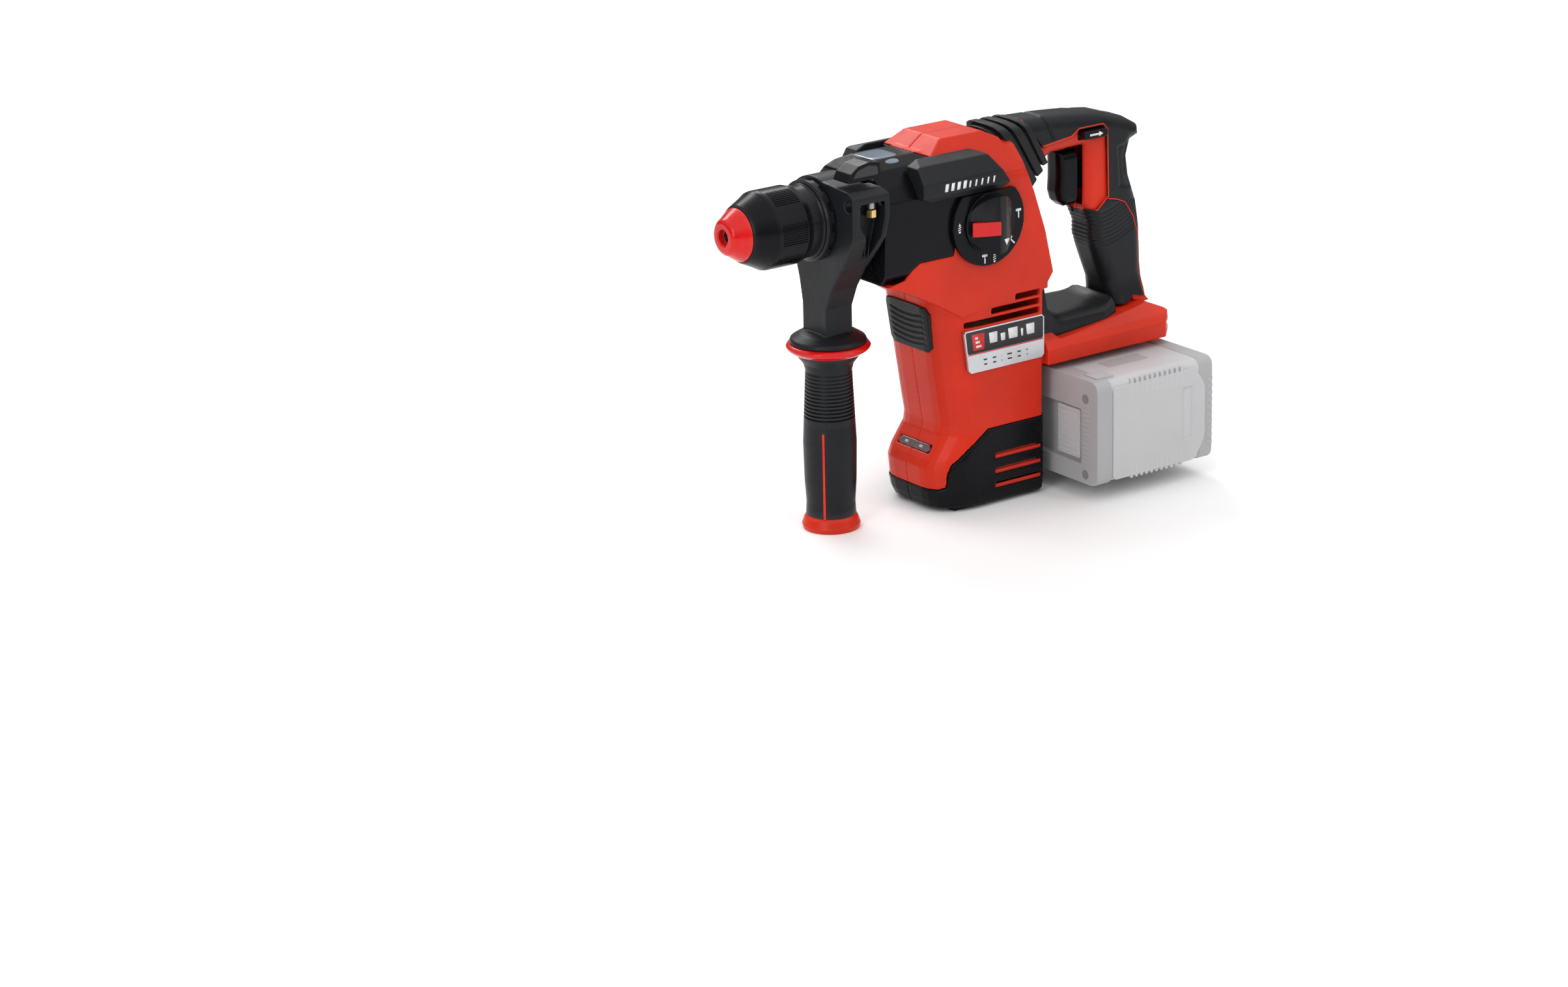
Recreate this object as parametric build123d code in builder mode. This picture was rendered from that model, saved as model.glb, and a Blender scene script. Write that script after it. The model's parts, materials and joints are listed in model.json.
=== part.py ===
"""Cordless rotary hammer: L-shaped drive, sprung rear D-handle, side handle and two battery packs.

Millimetres. +Z is up, the spindle turns about the X axis and the nose points to -X.
The origin is the mouth of the bit socket, on the spindle axis.
"""
from build123d import *
import os
from math import cos, pi, radians, sin

os.makedirs("parts", exist_ok=True)

# ---- driving dimensions -------------------------------------------------------------------------
floor_z = -222.0  # underside of the base and of the side handle
wall = 2.6  # thickness of the plastic shells
gap = 0.3  # clearance between separate mouldings
fit = 0.05  # radial clearance of running fits

bit_r = 5.03  # bit socket
ball_r = 2.87  # the balls end flush with the socket's wall
ball_x, ball_z = 34.0, 7.95
socket_depth = 46.0
spindle_r = 15.0
spindle_end_x = 150.0
barrel_r = 12.05  # hammer barrel bored in the spindle
neck_r = 24.0  # cylinder that the side handle clamps on
neck_x = (71.0, 104.0)

gear_front_x = 101.0
body_half = 40.0  # half width of the gear case and of the main housing
foot_half = 42.0

motor_x = 199.5
crank_x = 172.0
bevel_x = 147.0
module = 1.25
pinion_teeth, crank_teeth = 8, 36
layshaft_teeth, bevel_gear_teeth = 16, 24
stroke = 22.0

dial_x, dial_z = 188.0, -14.0
dial_r = 31.0
knob_r = 21.0

grip_x = 81.0  # vertical axis of the side handle
flange_z = -90.5
pivot_x, pivot_z = 336.0, -112.0  # hinge pin of the rear handle

pack_x = (250.0, 358.0)
pack_z = (-210.0, -133.0)
pack_y = (17.0, 85.0)


# ---- helpers ------------------------------------------------------------------------------------
def face_xz(points, y=0.0, inset=0.0):
    """Closed outline of (x, z) points on the plane at y; it extrudes towards -Y."""
    with BuildSketch(Plane.XZ.offset(-y)) as face:
        with BuildLine():
            Polyline(*points, close=True)
        make_face()
        if inset:
            offset(amount=-inset, kind=Kind.INTERSECTION)
    return face.sketch


def face_yz(points, x=0.0, inset=0.0):
    """Closed outline of (y, z) points on the plane at x; it extrudes towards +X."""
    with BuildSketch(Plane.YZ.offset(x)) as face:
        with BuildLine():
            Polyline(*points, close=True)
        make_face()
        if inset:
            offset(amount=-inset, kind=Kind.INTERSECTION)
    return face.sketch


def face_xy(points, z=0.0):
    """Closed outline of (x, y) points on the plane at z; it extrudes towards +Z."""
    with BuildSketch(Plane.XY.offset(z)) as face:
        with BuildLine():
            Polyline(*points, close=True)
        make_face()
    return face.sketch


def face_outline(points):
    """Closed outline of plain (u, v) points, to be added to the sketch that is being made."""
    with BuildSketch() as face:
        with BuildLine():
            Polyline(*points, close=True)
        make_face()
    return face.sketch


def turned_x(points):
    """Profile of (x, radius) points, to be revolved about the X axis."""
    return face_xy(points)


def turned_z(points, x=0.0):
    """Profile of (radius, z) points, to be revolved about the vertical line through (x, 0)."""
    return face_xz([(x + r, z) for r, z in points])


def mirrored(points):
    """Outline symmetric in its first coordinate, from the points of its positive half."""
    return points + [(-y, z) for y, z in reversed(points)]


def gear_face(plane, teeth, phase=0.0, gear_module=module):
    """Spur gear outline with straight-flanked teeth and generous backlash; phase is in teeth."""
    pitch_r = gear_module * teeth / 2
    half = 0.5 * pi * gear_module
    with BuildSketch(plane) as face:
        Circle(pitch_r - 1.1 * gear_module)
        with PolarLocations(0, teeth, start_angle=360 * phase / teeth):
            with BuildLine():
                Polyline(
                    (pitch_r - 1.3 * gear_module, -0.62 * half),
                    (pitch_r + 0.72 * gear_module, -0.22 * half),
                    (pitch_r + 0.72 * gear_module, 0.22 * half),
                    (pitch_r - 1.3 * gear_module, 0.62 * half),
                    close=True,
                )
            make_face()
    return face.sketch


def coil(name, start, direction, length, radius, wire, turns):
    """Helical compression spring from start along direction."""
    with BuildPart() as spring:
        with BuildLine() as path:
            Helix(length / turns, length, radius, center=start, direction=direction)
        with BuildSketch(Plane(origin=path.line @ 0, z_dir=path.line % 0)):
            Circle(wire)
        sweep(path=path.line, is_frenet=True)
    save(spring.part, name)


def save(part, name):
    """Label one finished piece and write its STEP file."""
    part.label = name
    export_step(part, f"parts/{name}.step")


axis_motor = Axis((motor_x, 0, 0), (0, 0, 1))
axis_crank = Axis((crank_x, 0, 0), (0, 0, 1))
axis_bevel = Axis((bevel_x, 0, 0), (0, 0, 1))
axis_grip = Axis((grip_x, 0, 0), (0, 0, 1))


# ---- tool holder --------------------------------------------------------------------------------
def make_spindle():
    with BuildPart() as spindle:
        revolve(turned_x([
            (0, bit_r), (0, 8.4), (0.6, 9), (8, 9), (8, 11), (52, 11), (52, spindle_r),
            (spindle_end_x, spindle_r), (spindle_end_x, barrel_r), (86, barrel_r), (86, 9),
            (socket_depth, 9), (socket_depth, bit_r),
        ]), axis=Axis.X)
        with Locations((ball_x, 0, ball_z), (ball_x, 0, -ball_z)):
            Sphere(ball_r + fit, mode=Mode.SUBTRACT)
        with Locations((ball_x, 0, ball_z + 2.4), (ball_x, 0, -ball_z - 2.4)):
            Cylinder(ball_r + fit, 4.8, mode=Mode.SUBTRACT)
    save(spindle.part, "spindle")

    with BuildPart() as balls:
        with Locations((ball_x, 0, ball_z), (ball_x, 0, -ball_z)):
            Sphere(ball_r)
    save(balls.part, "locking_balls")


def make_dust_cap():
    with BuildPart() as dust_cap:
        with BuildSketch(Plane.XY):
            with BuildLine():
                Line((0, 5.6), (-4.2, 5.6))
                ThreePointArc((-4.2, 5.6), (-5, 6.4), (-5, 7.2))
                Line((-5, 7.2), (-5, 9.0))
                ThreePointArc((-5, 9.0), (-3.9, 11.7), (-1.6, 13.2))
                Line((-1.6, 13.2), (6.4, 18.3))
                Line((6.4, 18.3), (7.2, 18.3))
                Line((7.2, 18.3), (7.2, 16.0))
                Line((7.2, 16.0), (11, 16.0))
                Line((11, 16.0), (11, 11.1))
                Line((11, 11.1), (8, 11.1))
                Line((8, 11.1), (8, 9.02))
                Line((8, 9.02), (0, 9.02))
                Line((0, 9.02), (0, 5.6))
            make_face()
        revolve(axis=Axis.X)
    save(dust_cap.part, "dust_cap")


def make_locking_sleeve():
    """Outer sleeve with six knurled panels; its inner rib holds the locking balls in."""
    with BuildPart() as sleeve:
        revolve(turned_x([
            (7.5, 17.6), (7.5, 18.8), (8.6, 20.0), (20.0, 25.4), (22.6, 26.9), (24.5, 27.3),
            (47.0, 27.3), (52.0, 25.9), (52.0, 25.2), (30.0, 25.2), (30.0, 24.0), (38.0, 24.0),
            (38.0, 11.06), (30.0, 11.06), (30.0, 17.6),
        ]), axis=Axis.X)
        with BuildSketch(Plane.YZ.offset(26.0)):
            for panel in range(6):
                with PolarLocations(27.4, 9, start_angle=60 * panel - 16, angular_range=32):
                    Rectangle(1.4, 0.75)
        extrude(amount=20.0, mode=Mode.SUBTRACT)
    save(sleeve.part, "locking_sleeve")


def make_chuck_rear():
    with BuildPart() as chuck_body:
        revolve(turned_x([
            (46.5, 22), (46.5, 24.9), (60.3, 24.9), (61.5, 26.0), (61.5, spindle_r + fit),
            (52.3, spindle_r + fit), (52.3, 22),
        ]), axis=Axis.X)
    save(chuck_body.part, "chuck_body")

    with BuildPart() as ring:
        revolve(turned_x([
            (62.2, spindle_r + fit), (62.2, 26.6), (63.4, 28.0), (68.2, 28.0), (69.4, 27.0),
            (69.4, spindle_r + fit),
        ]), axis=Axis.X)
        with BuildSketch(Plane.YZ.offset(66.0)):
            with PolarLocations(28.6, 12):
                Rectangle(3.6, 5.6)
        extrude(amount=4.0, mode=Mode.SUBTRACT)
    save(ring.part, "release_ring")


def make_hammer_parts():
    with BuildPart() as beat_piece:
        revolve(turned_x([
            (46.3, 0), (46.3, 4.2), (47.3, bit_r - 0.08), (58.2, bit_r - 0.08), (59.7, 8.95), (74, 8.95),
            (74, 7), (80, 6.4), (80, 0),
        ]), axis=Axis.X)
    save(beat_piece.part, "beat_piece")

    with BuildPart() as ram:
        revolve(turned_x([
            (90, 0), (90, 6.5), (93, 6.5), (94, 12.0), (98, 12.0), (98, 11.0), (101, 11.0),
            (101, 12.0), (106, 12.0), (106, 0),
        ]), axis=Axis.X)
    save(ram.part, "ram")

    with BuildPart() as ram_seal:
        revolve(turned_x([(98.1, 11.0), (98.1, 12.0), (100.9, 12.0), (100.9, 11.0)]), axis=Axis.X)
    save(ram_seal.part, "ram_seal")

    with BuildPart() as piston:
        revolve(turned_x([
            (110, 0), (110, 12.0), (134, 12.0), (134, 9.5), (114, 9.5), (114, 0),
        ]), axis=Axis.X)
        with Locations((125, 0, 0)):
            Cylinder(3.0, 23.0, rotation=(90, 0, 0))
    save(piston.part, "piston")

    with BuildPart() as conrod:
        with BuildSketch(Plane.XY.offset(-4)):
            with Locations((125, 0)):
                Circle(6.2)
            with Locations((crank_x - stroke / 2, 0)):
                Circle(8.5)
            with Locations(((125 + crank_x - stroke / 2) / 2, 0)):
                Rectangle(crank_x - stroke / 2 - 125, 8)
        extrude(amount=8)
        with Locations((crank_x - stroke / 2, 0, 0)):
            Cylinder(4.0, 20, mode=Mode.SUBTRACT)
        with Locations((125, 0, 0)):
            Cylinder(3.0, 30, rotation=(90, 0, 0), mode=Mode.SUBTRACT)
    save(conrod.part, "conrod")

    with BuildPart() as crank_pin:
        with Locations((crank_x - stroke / 2, 0, -2.3)):
            Cylinder(4.0, 14.8)
    save(crank_pin.part, "crank_pin")


# ---- gear train ---------------------------------------------------------------------------------
def make_gears():
    with BuildPart() as motor_rotor:
        with Locations((motor_x, 0, -108)):
            Cylinder(4.0, 116)
        with Locations((motor_x, 0, -112)):
            Cylinder(13.5, 40)
        extrude(gear_face(Plane((motor_x, 0, -52)), pinion_teeth, phase=0.5), amount=8)
    save(motor_rotor.part, "motor_rotor")

    with BuildPart() as motor_fan:
        with BuildSketch(Plane.XY.offset(-84)):
            with Locations((motor_x, 0)):
                Circle(24)
                Circle(4, mode=Mode.SUBTRACT)
        extrude(amount=1.6)
        with BuildSketch(Plane.XY.offset(-82.6)):
            with Locations((motor_x, 0)):
                with PolarLocations(17, 11):
                    Rectangle(12, 1.4, rotation=28)
                Circle(7)
                Circle(4, mode=Mode.SUBTRACT)
        extrude(amount=9)
    save(motor_fan.part, "motor_fan")

    with BuildPart() as crank_gear:
        with Locations((crank_x, 0, -36)):
            Cylinder(5.0, 44)
        with Locations((crank_x, 0, -13)):
            Cylinder(16.0, 6)
        extrude(gear_face(Plane((crank_x, 0, -52)), crank_teeth), amount=6)
        extrude(gear_face(Plane((crank_x, 0, -44)), layshaft_teeth), amount=6)
    save(crank_gear.part, "crank_gear")

    with BuildPart() as bevel_shaft:
        with Locations((bevel_x, 0, -32.75)):
            Cylinder(4.0, 25.5)
        extrude(gear_face(Plane((bevel_x, 0, -44)), bevel_gear_teeth, phase=0.5), amount=6)
        extrude(gear_face(Plane((bevel_x, 0, -28)), 8, gear_module=2.05), amount=7)
    save(bevel_shaft.part, "bevel_shaft")

    with BuildPart() as spindle_gear:
        revolve(turned_x([
            (126, spindle_r), (126, 22), (130, 28), (136.2, 28), (136.2, spindle_r),
        ]), axis=Axis.X)
        with BuildSketch(Plane.YZ.offset(136.0)):
            with PolarLocations(24.6, 24, start_angle=270 + 7.5):
                Rectangle(6.4, 1.9)
        extrude(amount=4.2)
    save(spindle_gear.part, "spindle_gear")


def make_bearings():
    with BuildPart() as spindle_bearings:
        revolve(turned_x([(78, spindle_r + fit), (78, 20), (88, 20), (88, spindle_r + fit)]), axis=Axis.X)
        revolve(turned_x([(112, spindle_r + fit), (112, 22), (122, 22), (122, spindle_r + fit)]),
                axis=Axis.X)
    save(spindle_bearings.part, "spindle_bearings")

    with BuildPart() as motor_bearings:
        revolve(turned_z([(4 + fit, -62), (9, -62), (9, -56), (4 + fit, -56)], motor_x), axis=axis_motor)
        revolve(turned_z([(4 + fit, -164), (9, -164), (9, -158), (4 + fit, -158)], motor_x),
                axis=axis_motor)
    save(motor_bearings.part, "motor_bearings")

    with BuildPart() as shaft_bearings:
        for x, axis, r in ((crank_x, axis_crank, 5), (bevel_x, axis_bevel, 4)):
            revolve(turned_z([(r + fit, -36.5), (9, -36.5), (9, -31), (r + fit, -31)], x), axis=axis)
        revolve(turned_z([(5 + fit, -58), (9, -58), (9, -54), (5 + fit, -54)], crank_x), axis=axis_crank)
    save(shaft_bearings.part, "shaft_bearings")


def make_inner_frame():
    """Cast frame between the gears and the motor, with the bearing seats."""
    with BuildPart() as frame:
        with Locations((186, 0, -58.5)):
            Box(80, 62, 5)
        with Locations((162, 0, -33.75)):
            Box(84, 62, 5.5)
        with Locations((117, 0, -13.5)):
            Box(10, 62, 61)
        for side in (-1, 1):
            extrude(face_xz([(116, -38), (144, -61), (204, -61), (204, 4), (116, 4)], y=side * 30.5),
                    amount=1.5, both=True)
        with Locations((motor_x, 0, -59), (crank_x, 0, -56)):
            Cylinder(9, 20, mode=Mode.SUBTRACT)
        with Locations((crank_x, 0, -34), (bevel_x, 0, -34)):
            Cylinder(9, 20, mode=Mode.SUBTRACT)
        with Locations((117, 0, 0)):
            Cylinder(22, 30, rotation=(0, 90, 0), mode=Mode.SUBTRACT)
        with Locations((188, -30.5, dial_z)):
            Cylinder(6, 20, rotation=(90, 0, 0), mode=Mode.SUBTRACT)
    save(frame.part, "inner_frame")


def make_motor():
    with BuildPart() as stator:
        with BuildSketch(Plane.XY.offset(-134)):
            with Locations((motor_x, 0)):
                Circle(26)
                Circle(14.2, mode=Mode.SUBTRACT)
                with PolarLocations(19, 12):
                    Rectangle(7, 1.6, mode=Mode.SUBTRACT)
        extrude(amount=44)
    save(stator.part, "motor_stator")

    with BuildPart() as board:
        with Locations((199, 0, -178)):
            Box(62, 54, 2)
        with Locations((184, 0, -173.5), (214, 0, -173.5)):
            Box(14, 26, 7)
        with Locations((199, 0, -172)):
            Cylinder(6, 10)
    save(board.part, "controller_board")


# ---- main housing -------------------------------------------------------------------------------
# horizontal sections of the motor column: z, front x, half width
column_sections = (
    (-219.0, 152.5, 37.0),
    (-213.0, 150.0, 38.3),
    (-206.0, 148.7, 38.5),
    (-190.0, 147.0, 38.5),
    (-184.0, 149.5, 38.5),
    (-168.0, 161.0, 38.5),
    (-161.0, 162.0, 38.5),
    (-150.0, 160.0, 38.5),
    (-107.0, 153.3, 39.0),
    (-74.0, 148.4, 39.5),
    (-52.0, 144.0, 39.5),
)
column_rear_x = 243.0
corner_x, corner_y = 30.0, 24.0  # the column's front corners are quarter ellipses
corner_steps = 6

case_side = [
    (gear_front_x, -46), (gear_front_x, 26), (112, 36), (226, 36), (226, 12), (231, 0), (241, -30),
    (248, -61), (243, -68), (243, -72), (167, -79.5), (145.6, -66.5), (124, -55),
]
case_top = mirrored([(body_half, -120), (body_half, 12), (34, 21), (24, 31), (13, 36), (13, 60)])
cap_side = [
    (150, 20), (150, 34), (164, 44), (200, 44), (212, 38), (222, 20), (231, 0), (231, -6), (176, -6),
]
cap_top = mirrored([(body_half, -20), (body_half, 5), (39, 17), (29, 31), (20, 44), (20, 60)])
gear_region = [
    (60, 70), (147, 70), (147, 36), (160, 30), (186, 24), (196, 10), (186, 4), (166, -10), (160, -34),
    (131, -34), (124, -38), (118, -44), (96, -48), (60, -60),
]
foot_side = [
    (241.5, -92), (256, -112), (346, -105), (356, -109), (363, -116), (365, -122), (362, -128),
    (241.5, -128),
]


def column_outline(level, front_x, half, inset):
    """Outline of the column at one level: two elliptic front corners and two chamfered rear ones."""
    points = [(column_rear_x - inset, half - inset - 6), (column_rear_x - inset - 5, half - inset)]
    for step in range(corner_steps + 1):
        angle = pi / 2 * step / corner_steps
        along = corner_x * (1 - cos(angle))
        across = corner_y * (1 - sin(angle))
        points.append((front_x + inset + along, half - inset - across))
    points[2:] = reversed(points[2:])
    return face_xy(points + [(x, -y) for x, y in reversed(points)], level)


def column_form(inset):
    with BuildPart() as form:
        levels = []
        for z, front_x, half in column_sections:
            level = min(max(z, floor_z + 3 + inset), -52 - inset)
            levels.append(column_outline(level, front_x, half, inset))
        loft(levels, ruled=True)
    return form.part


def case_form(side, top, inset):
    """Block with a side outline and a rounded roof outline, both pulled in by inset."""
    with BuildPart() as form:
        extrude(face_xz(side, inset=inset), amount=60, both=True)
        extrude(face_yz(top, x=90, inset=inset), amount=170, mode=Mode.INTERSECT)
    return form.part


def foot_form(inset):
    """Rear foot that carries the handle and the battery rails, crowned towards its middle."""
    with BuildPart() as form:
        extrude(face_xz(foot_side, inset=inset), amount=foot_half - inset, both=True)
        crown = mirrored([(foot_half, -130), (foot_half, -117), (38, -112), (17, -100), (17, -80)])
        extrude(face_yz(crown, x=230, inset=inset), amount=140, mode=Mode.INTERSECT)
        plan = [(230, 42), (350, 42), (362, 30), (366, 0), (362, -30), (350, -42), (230, -42)]
        extrude(face_xy(plan, -130), amount=60, mode=Mode.INTERSECT)
    return form.part


def body_form(inset):
    with BuildPart() as form:
        add(column_form(inset))
        add(case_form(case_side, case_top, inset))
        add(case_form(cap_side, cap_top, inset))
    return form.part


def make_housings():
    outer = body_form(0)
    inner = body_form(wall)
    foot = foot_form(0)
    foot_hollow = foot_form(wall)
    for name, side in (("housing_left", -1), ("housing_right", 1)):
        with BuildPart() as shell:
            add(outer)
            extrude(face_xz(gear_region), amount=60, both=True, mode=Mode.SUBTRACT)
            add(foot)
            add(inner, mode=Mode.SUBTRACT)
            add(foot_hollow, mode=Mode.SUBTRACT)
            # the black skirts sit in a rebate round the bottom
            extrude(face_xz(skirt_outline, inset=-gap), amount=60, both=True, mode=Mode.SUBTRACT)
            add(skirt_core(), mode=Mode.ADD)
            add(inner, mode=Mode.SUBTRACT)
            with Locations((200, -side * 100, -80)):
                Box(500, 200, 500, mode=Mode.SUBTRACT)
            # air slots in a triangle above the rating plate
            for z, x in ((-86.5, 170), (-80, 193), (-73.5, 214)):
                with Locations(((x + 236) / 2, side * 40, z)):
                    Box(236 - x, 12, 4.4, mode=Mode.SUBTRACT)
            with Locations((pivot_x, 0, -106)):
                Box(19, 24, 14, mode=Mode.SUBTRACT)
            if side > 0:
                with Locations(*[(x, 38, z) for x, z in screw_places]):
                    Cylinder(screw_head_r + fit, 12, rotation=(90, 0, 0), mode=Mode.SUBTRACT)
            # window for the work light
            with Locations(Location(lamp_place, lamp_tilt)):
                Box(6.4, 36, 12, mode=Mode.SUBTRACT)
            # seat of the mode dial
            if side < 0:
                with Locations((dial_x, -40, dial_z)):
                    Cylinder(11, 20, rotation=(90, 0, 0), mode=Mode.SUBTRACT)
        save(shell.part, name)


screw_places = ((232, -45), (186, -98), (190, -128), (232, -128), (190, -156), (232, -156), (220, 0))
screw_head_r = 3.0
lamp_place, lamp_tilt = (154.5, 0, -177.6), (0, -58, 0)  # middle of the work light, in the sloping front

skirt_outline = [
    (140, -205), (154, -205), (158, -203), (158.5, -193), (161, -187), (190.5, -165), (260, -165),
    (260, -230), (140, -230),
]
skirt_depth = 2.2

lining_side = [
    (243.5, -69), (247, -69), (249, -84), (253, -92), (261, -97.5), (272, -99), (310, -98.5),
    (317, -100), (317, -110), (258, -116), (250, -114), (243.5, -96),
]

def skirt_core():
    """Lower end of the red mouldings, set back under the black skirts."""
    with BuildPart() as core:
        add(column_form(skirt_depth + gap))
        extrude(face_xz(skirt_outline, inset=-gap), amount=60, both=True, mode=Mode.INTERSECT)
    return core.part


def make_skirts():
    for name, side in (("base_skirt_left", -1), ("base_skirt_right", 1)):
        with BuildPart() as skirt:
            add(column_form(-0.6))
            with Locations((204, 0, -218)):
                Box(78, 62, 8)
            extrude(face_xz(skirt_outline), amount=60, both=True, mode=Mode.INTERSECT)
            add(column_form(skirt_depth), mode=Mode.SUBTRACT)
            with Locations((200, -side * 100, -190)):
                Box(300, 200, 100, mode=Mode.SUBTRACT)
            for z in (-186, -197, -207.5):
                with Locations((222, side * 42, z)):
                    Box(52, 16, 4.2, mode=Mode.SUBTRACT)
        save(skirt.part, name)


def make_gear_housing():
    """Black case round the spindle: a box with a rounded roof, and the neck for the side handle."""
    with BuildPart() as case:
        add(body_form(0))
        extrude(face_xz(gear_region, inset=gap), amount=60, both=True, mode=Mode.INTERSECT)
        lower_bevel = mirrored([(33, -80), (33, -47), (body_half, -39), (body_half, 60)])
        extrude(face_yz(lower_bevel, x=60), amount=150, mode=Mode.INTERSECT)
        revolve(turned_x([(neck_x[0], 12), (neck_x[0], neck_r), (gear_front_x + 3, neck_r),
                          (gear_front_x + 3, 12)]), axis=Axis.X)
        add(body_form(wall + 0.4), mode=Mode.SUBTRACT)
        with Locations((90, 0, 0)):
            Cylinder(20, 60, rotation=(0, 90, 0), mode=Mode.SUBTRACT)
        with Locations((dial_x, -40, dial_z)):
            Cylinder(11, 20, rotation=(90, 0, 0), mode=Mode.SUBTRACT)
    save(case.part, "gear_housing")


def make_trim():
    for name, side in (("bumper_left", -1), ("bumper_right", 1)):
        with BuildPart() as bumper:
            rail = [(47, 13), (47, 22), (40, 33), (28, 36), (28, 8), (44, 8)]
            extrude(face_yz([(side * y, z) for y, z in rail], x=129), amount=76)
            extrude(face_xz([(129, 12), (137, 8), (198, 8), (205, 12), (190, 33), (182, 36), (137, 36),
                             (129, 32)]), amount=60, both=True, mode=Mode.INTERSECT)
            add(body_form(0), mode=Mode.SUBTRACT)
        save(bumper.part, name)

    with BuildPart() as pad:
        add(column_form(-1.2))
        pad_face = mirrored([(19, -106.5), (23, -103), (24.5, -78), (22, -73.5), (14, -72.5)])
        extrude(face_yz(pad_face, x=90), amount=90, mode=Mode.INTERSECT)
        add(body_form(0), mode=Mode.SUBTRACT)
    save(pad.part, "front_pad")

    with BuildPart() as lens:
        with Locations(Location(lamp_place, lamp_tilt)):
            with Locations((0, 0, -1.6)):
                Box(5.8, 35.4, 2)
    save(lens.part, "lamp_lens")

    with BuildPart() as plate:
        extrude(face_xz([(169, -90), (237, -90), (239, -92), (239, -119), (237, -121), (174, -121),
                         (172, -119), (168, -92)], y=-38.4), amount=1.8)
        add(body_form(0), mode=Mode.SUBTRACT)
    save(plate.part, "rating_plate")

    with BuildPart() as plate:
        with BuildSketch(Plane.XZ.offset(body_half + gap)):
            with Locations((dial_x, dial_z)):
                Circle(dial_r)
                Circle(8.5, mode=Mode.SUBTRACT)
            with Locations((dial_x, 60)):
                Rectangle(100, 106, mode=Mode.SUBTRACT)
        extrude(amount=3.2)
    save(plate.part, "dial_plate")

    with BuildPart() as lining:
        extrude(face_xz(lining_side), amount=31, both=True)
        saddle = mirrored([(31, -120), (31, -109), (17, -98.6), (17, -60)])
        extrude(face_yz(saddle, x=230), amount=110, mode=Mode.INTERSECT)
        add(foot_form(-gap), mode=Mode.SUBTRACT)
    save(lining.part, "opening_lining")


def make_screws():
    with BuildPart() as screws:
        for x, z in screw_places:
            with Locations((x, 37.3, z)):
                Cylinder(screw_head_r, 2.6, rotation=(90, 0, 0))
                with BuildSketch(Plane.XZ.offset(-38.6)):
                    with Locations((x, z)):
                        RegularPolygon(1.5, 6)
                extrude(amount=1.4, mode=Mode.SUBTRACT)
            with Locations((x, 32.5, z)):
                Cylinder(1.6, 8, rotation=(90, 0, 0))
    save(screws.part, "housing_screws")


def make_dial():
    with BuildPart() as dial:
        with BuildSketch(Plane.XZ.offset(43.8)):
            with Locations((dial_x, dial_z)):
                Circle(knob_r)
        extrude(amount=5)
        with BuildSketch(Plane.XZ.offset(43.8)):
            with Locations((dial_x, dial_z)):
                Rectangle(15, 38)
        extrude(amount=13)
        with Locations((dial_x, -36, dial_z)):
            Cylinder(5.5, 16, rotation=(90, 0, 0))
        with Locations((dial_x, -52, dial_z - 2)):
            Box(26, 14, 10.6, mode=Mode.SUBTRACT)
    save(dial.part, "mode_dial")

    with BuildPart() as button:
        with Locations((dial_x, -51.6, dial_z - 2)):
            Box(25.4, 8.8, 10)
    save(button.part, "dial_lock_button")


# ---- rear handle --------------------------------------------------------------------------------
handle_outline = [
    (242, 43), (268, 42), (293, 40), (315, 37), (337, 30), (349, 23), (350, 15), (342, 12),
    (339, 2), (341, -12), (348, -32), (351, -50), (352, -82), (355, -97),
    (356, -104.5), (322, -104.5), (320, -98),
    (318, -88), (314, -78), (309, -65), (305, -54), (305, -44), (299, -31),
    (297, -28), (297, 14), (270, 13), (261, 8),
]
handle_half = 16.0
grip_outline = [
    (242, 43), (268, 42), (293, 40), (315, 37), (337, 30), (349, 23), (350, 15), (342, 12),
    (339, 2), (341, -12), (348, -32), (351, -50), (352, -82), (355, -97), (356, -104.5), (340, -100),
    (332, -104.5), (322, -104.5), (320, -98),
    (318, -88), (314, -78), (309, -65), (305, -54), (305, -44), (299, -31), (308, -32), (318, -26),
    (316, 22), (312, 28), (290, 28), (284, 24), (262, 22), (259, 20),
]
skin = 2.0


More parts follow.
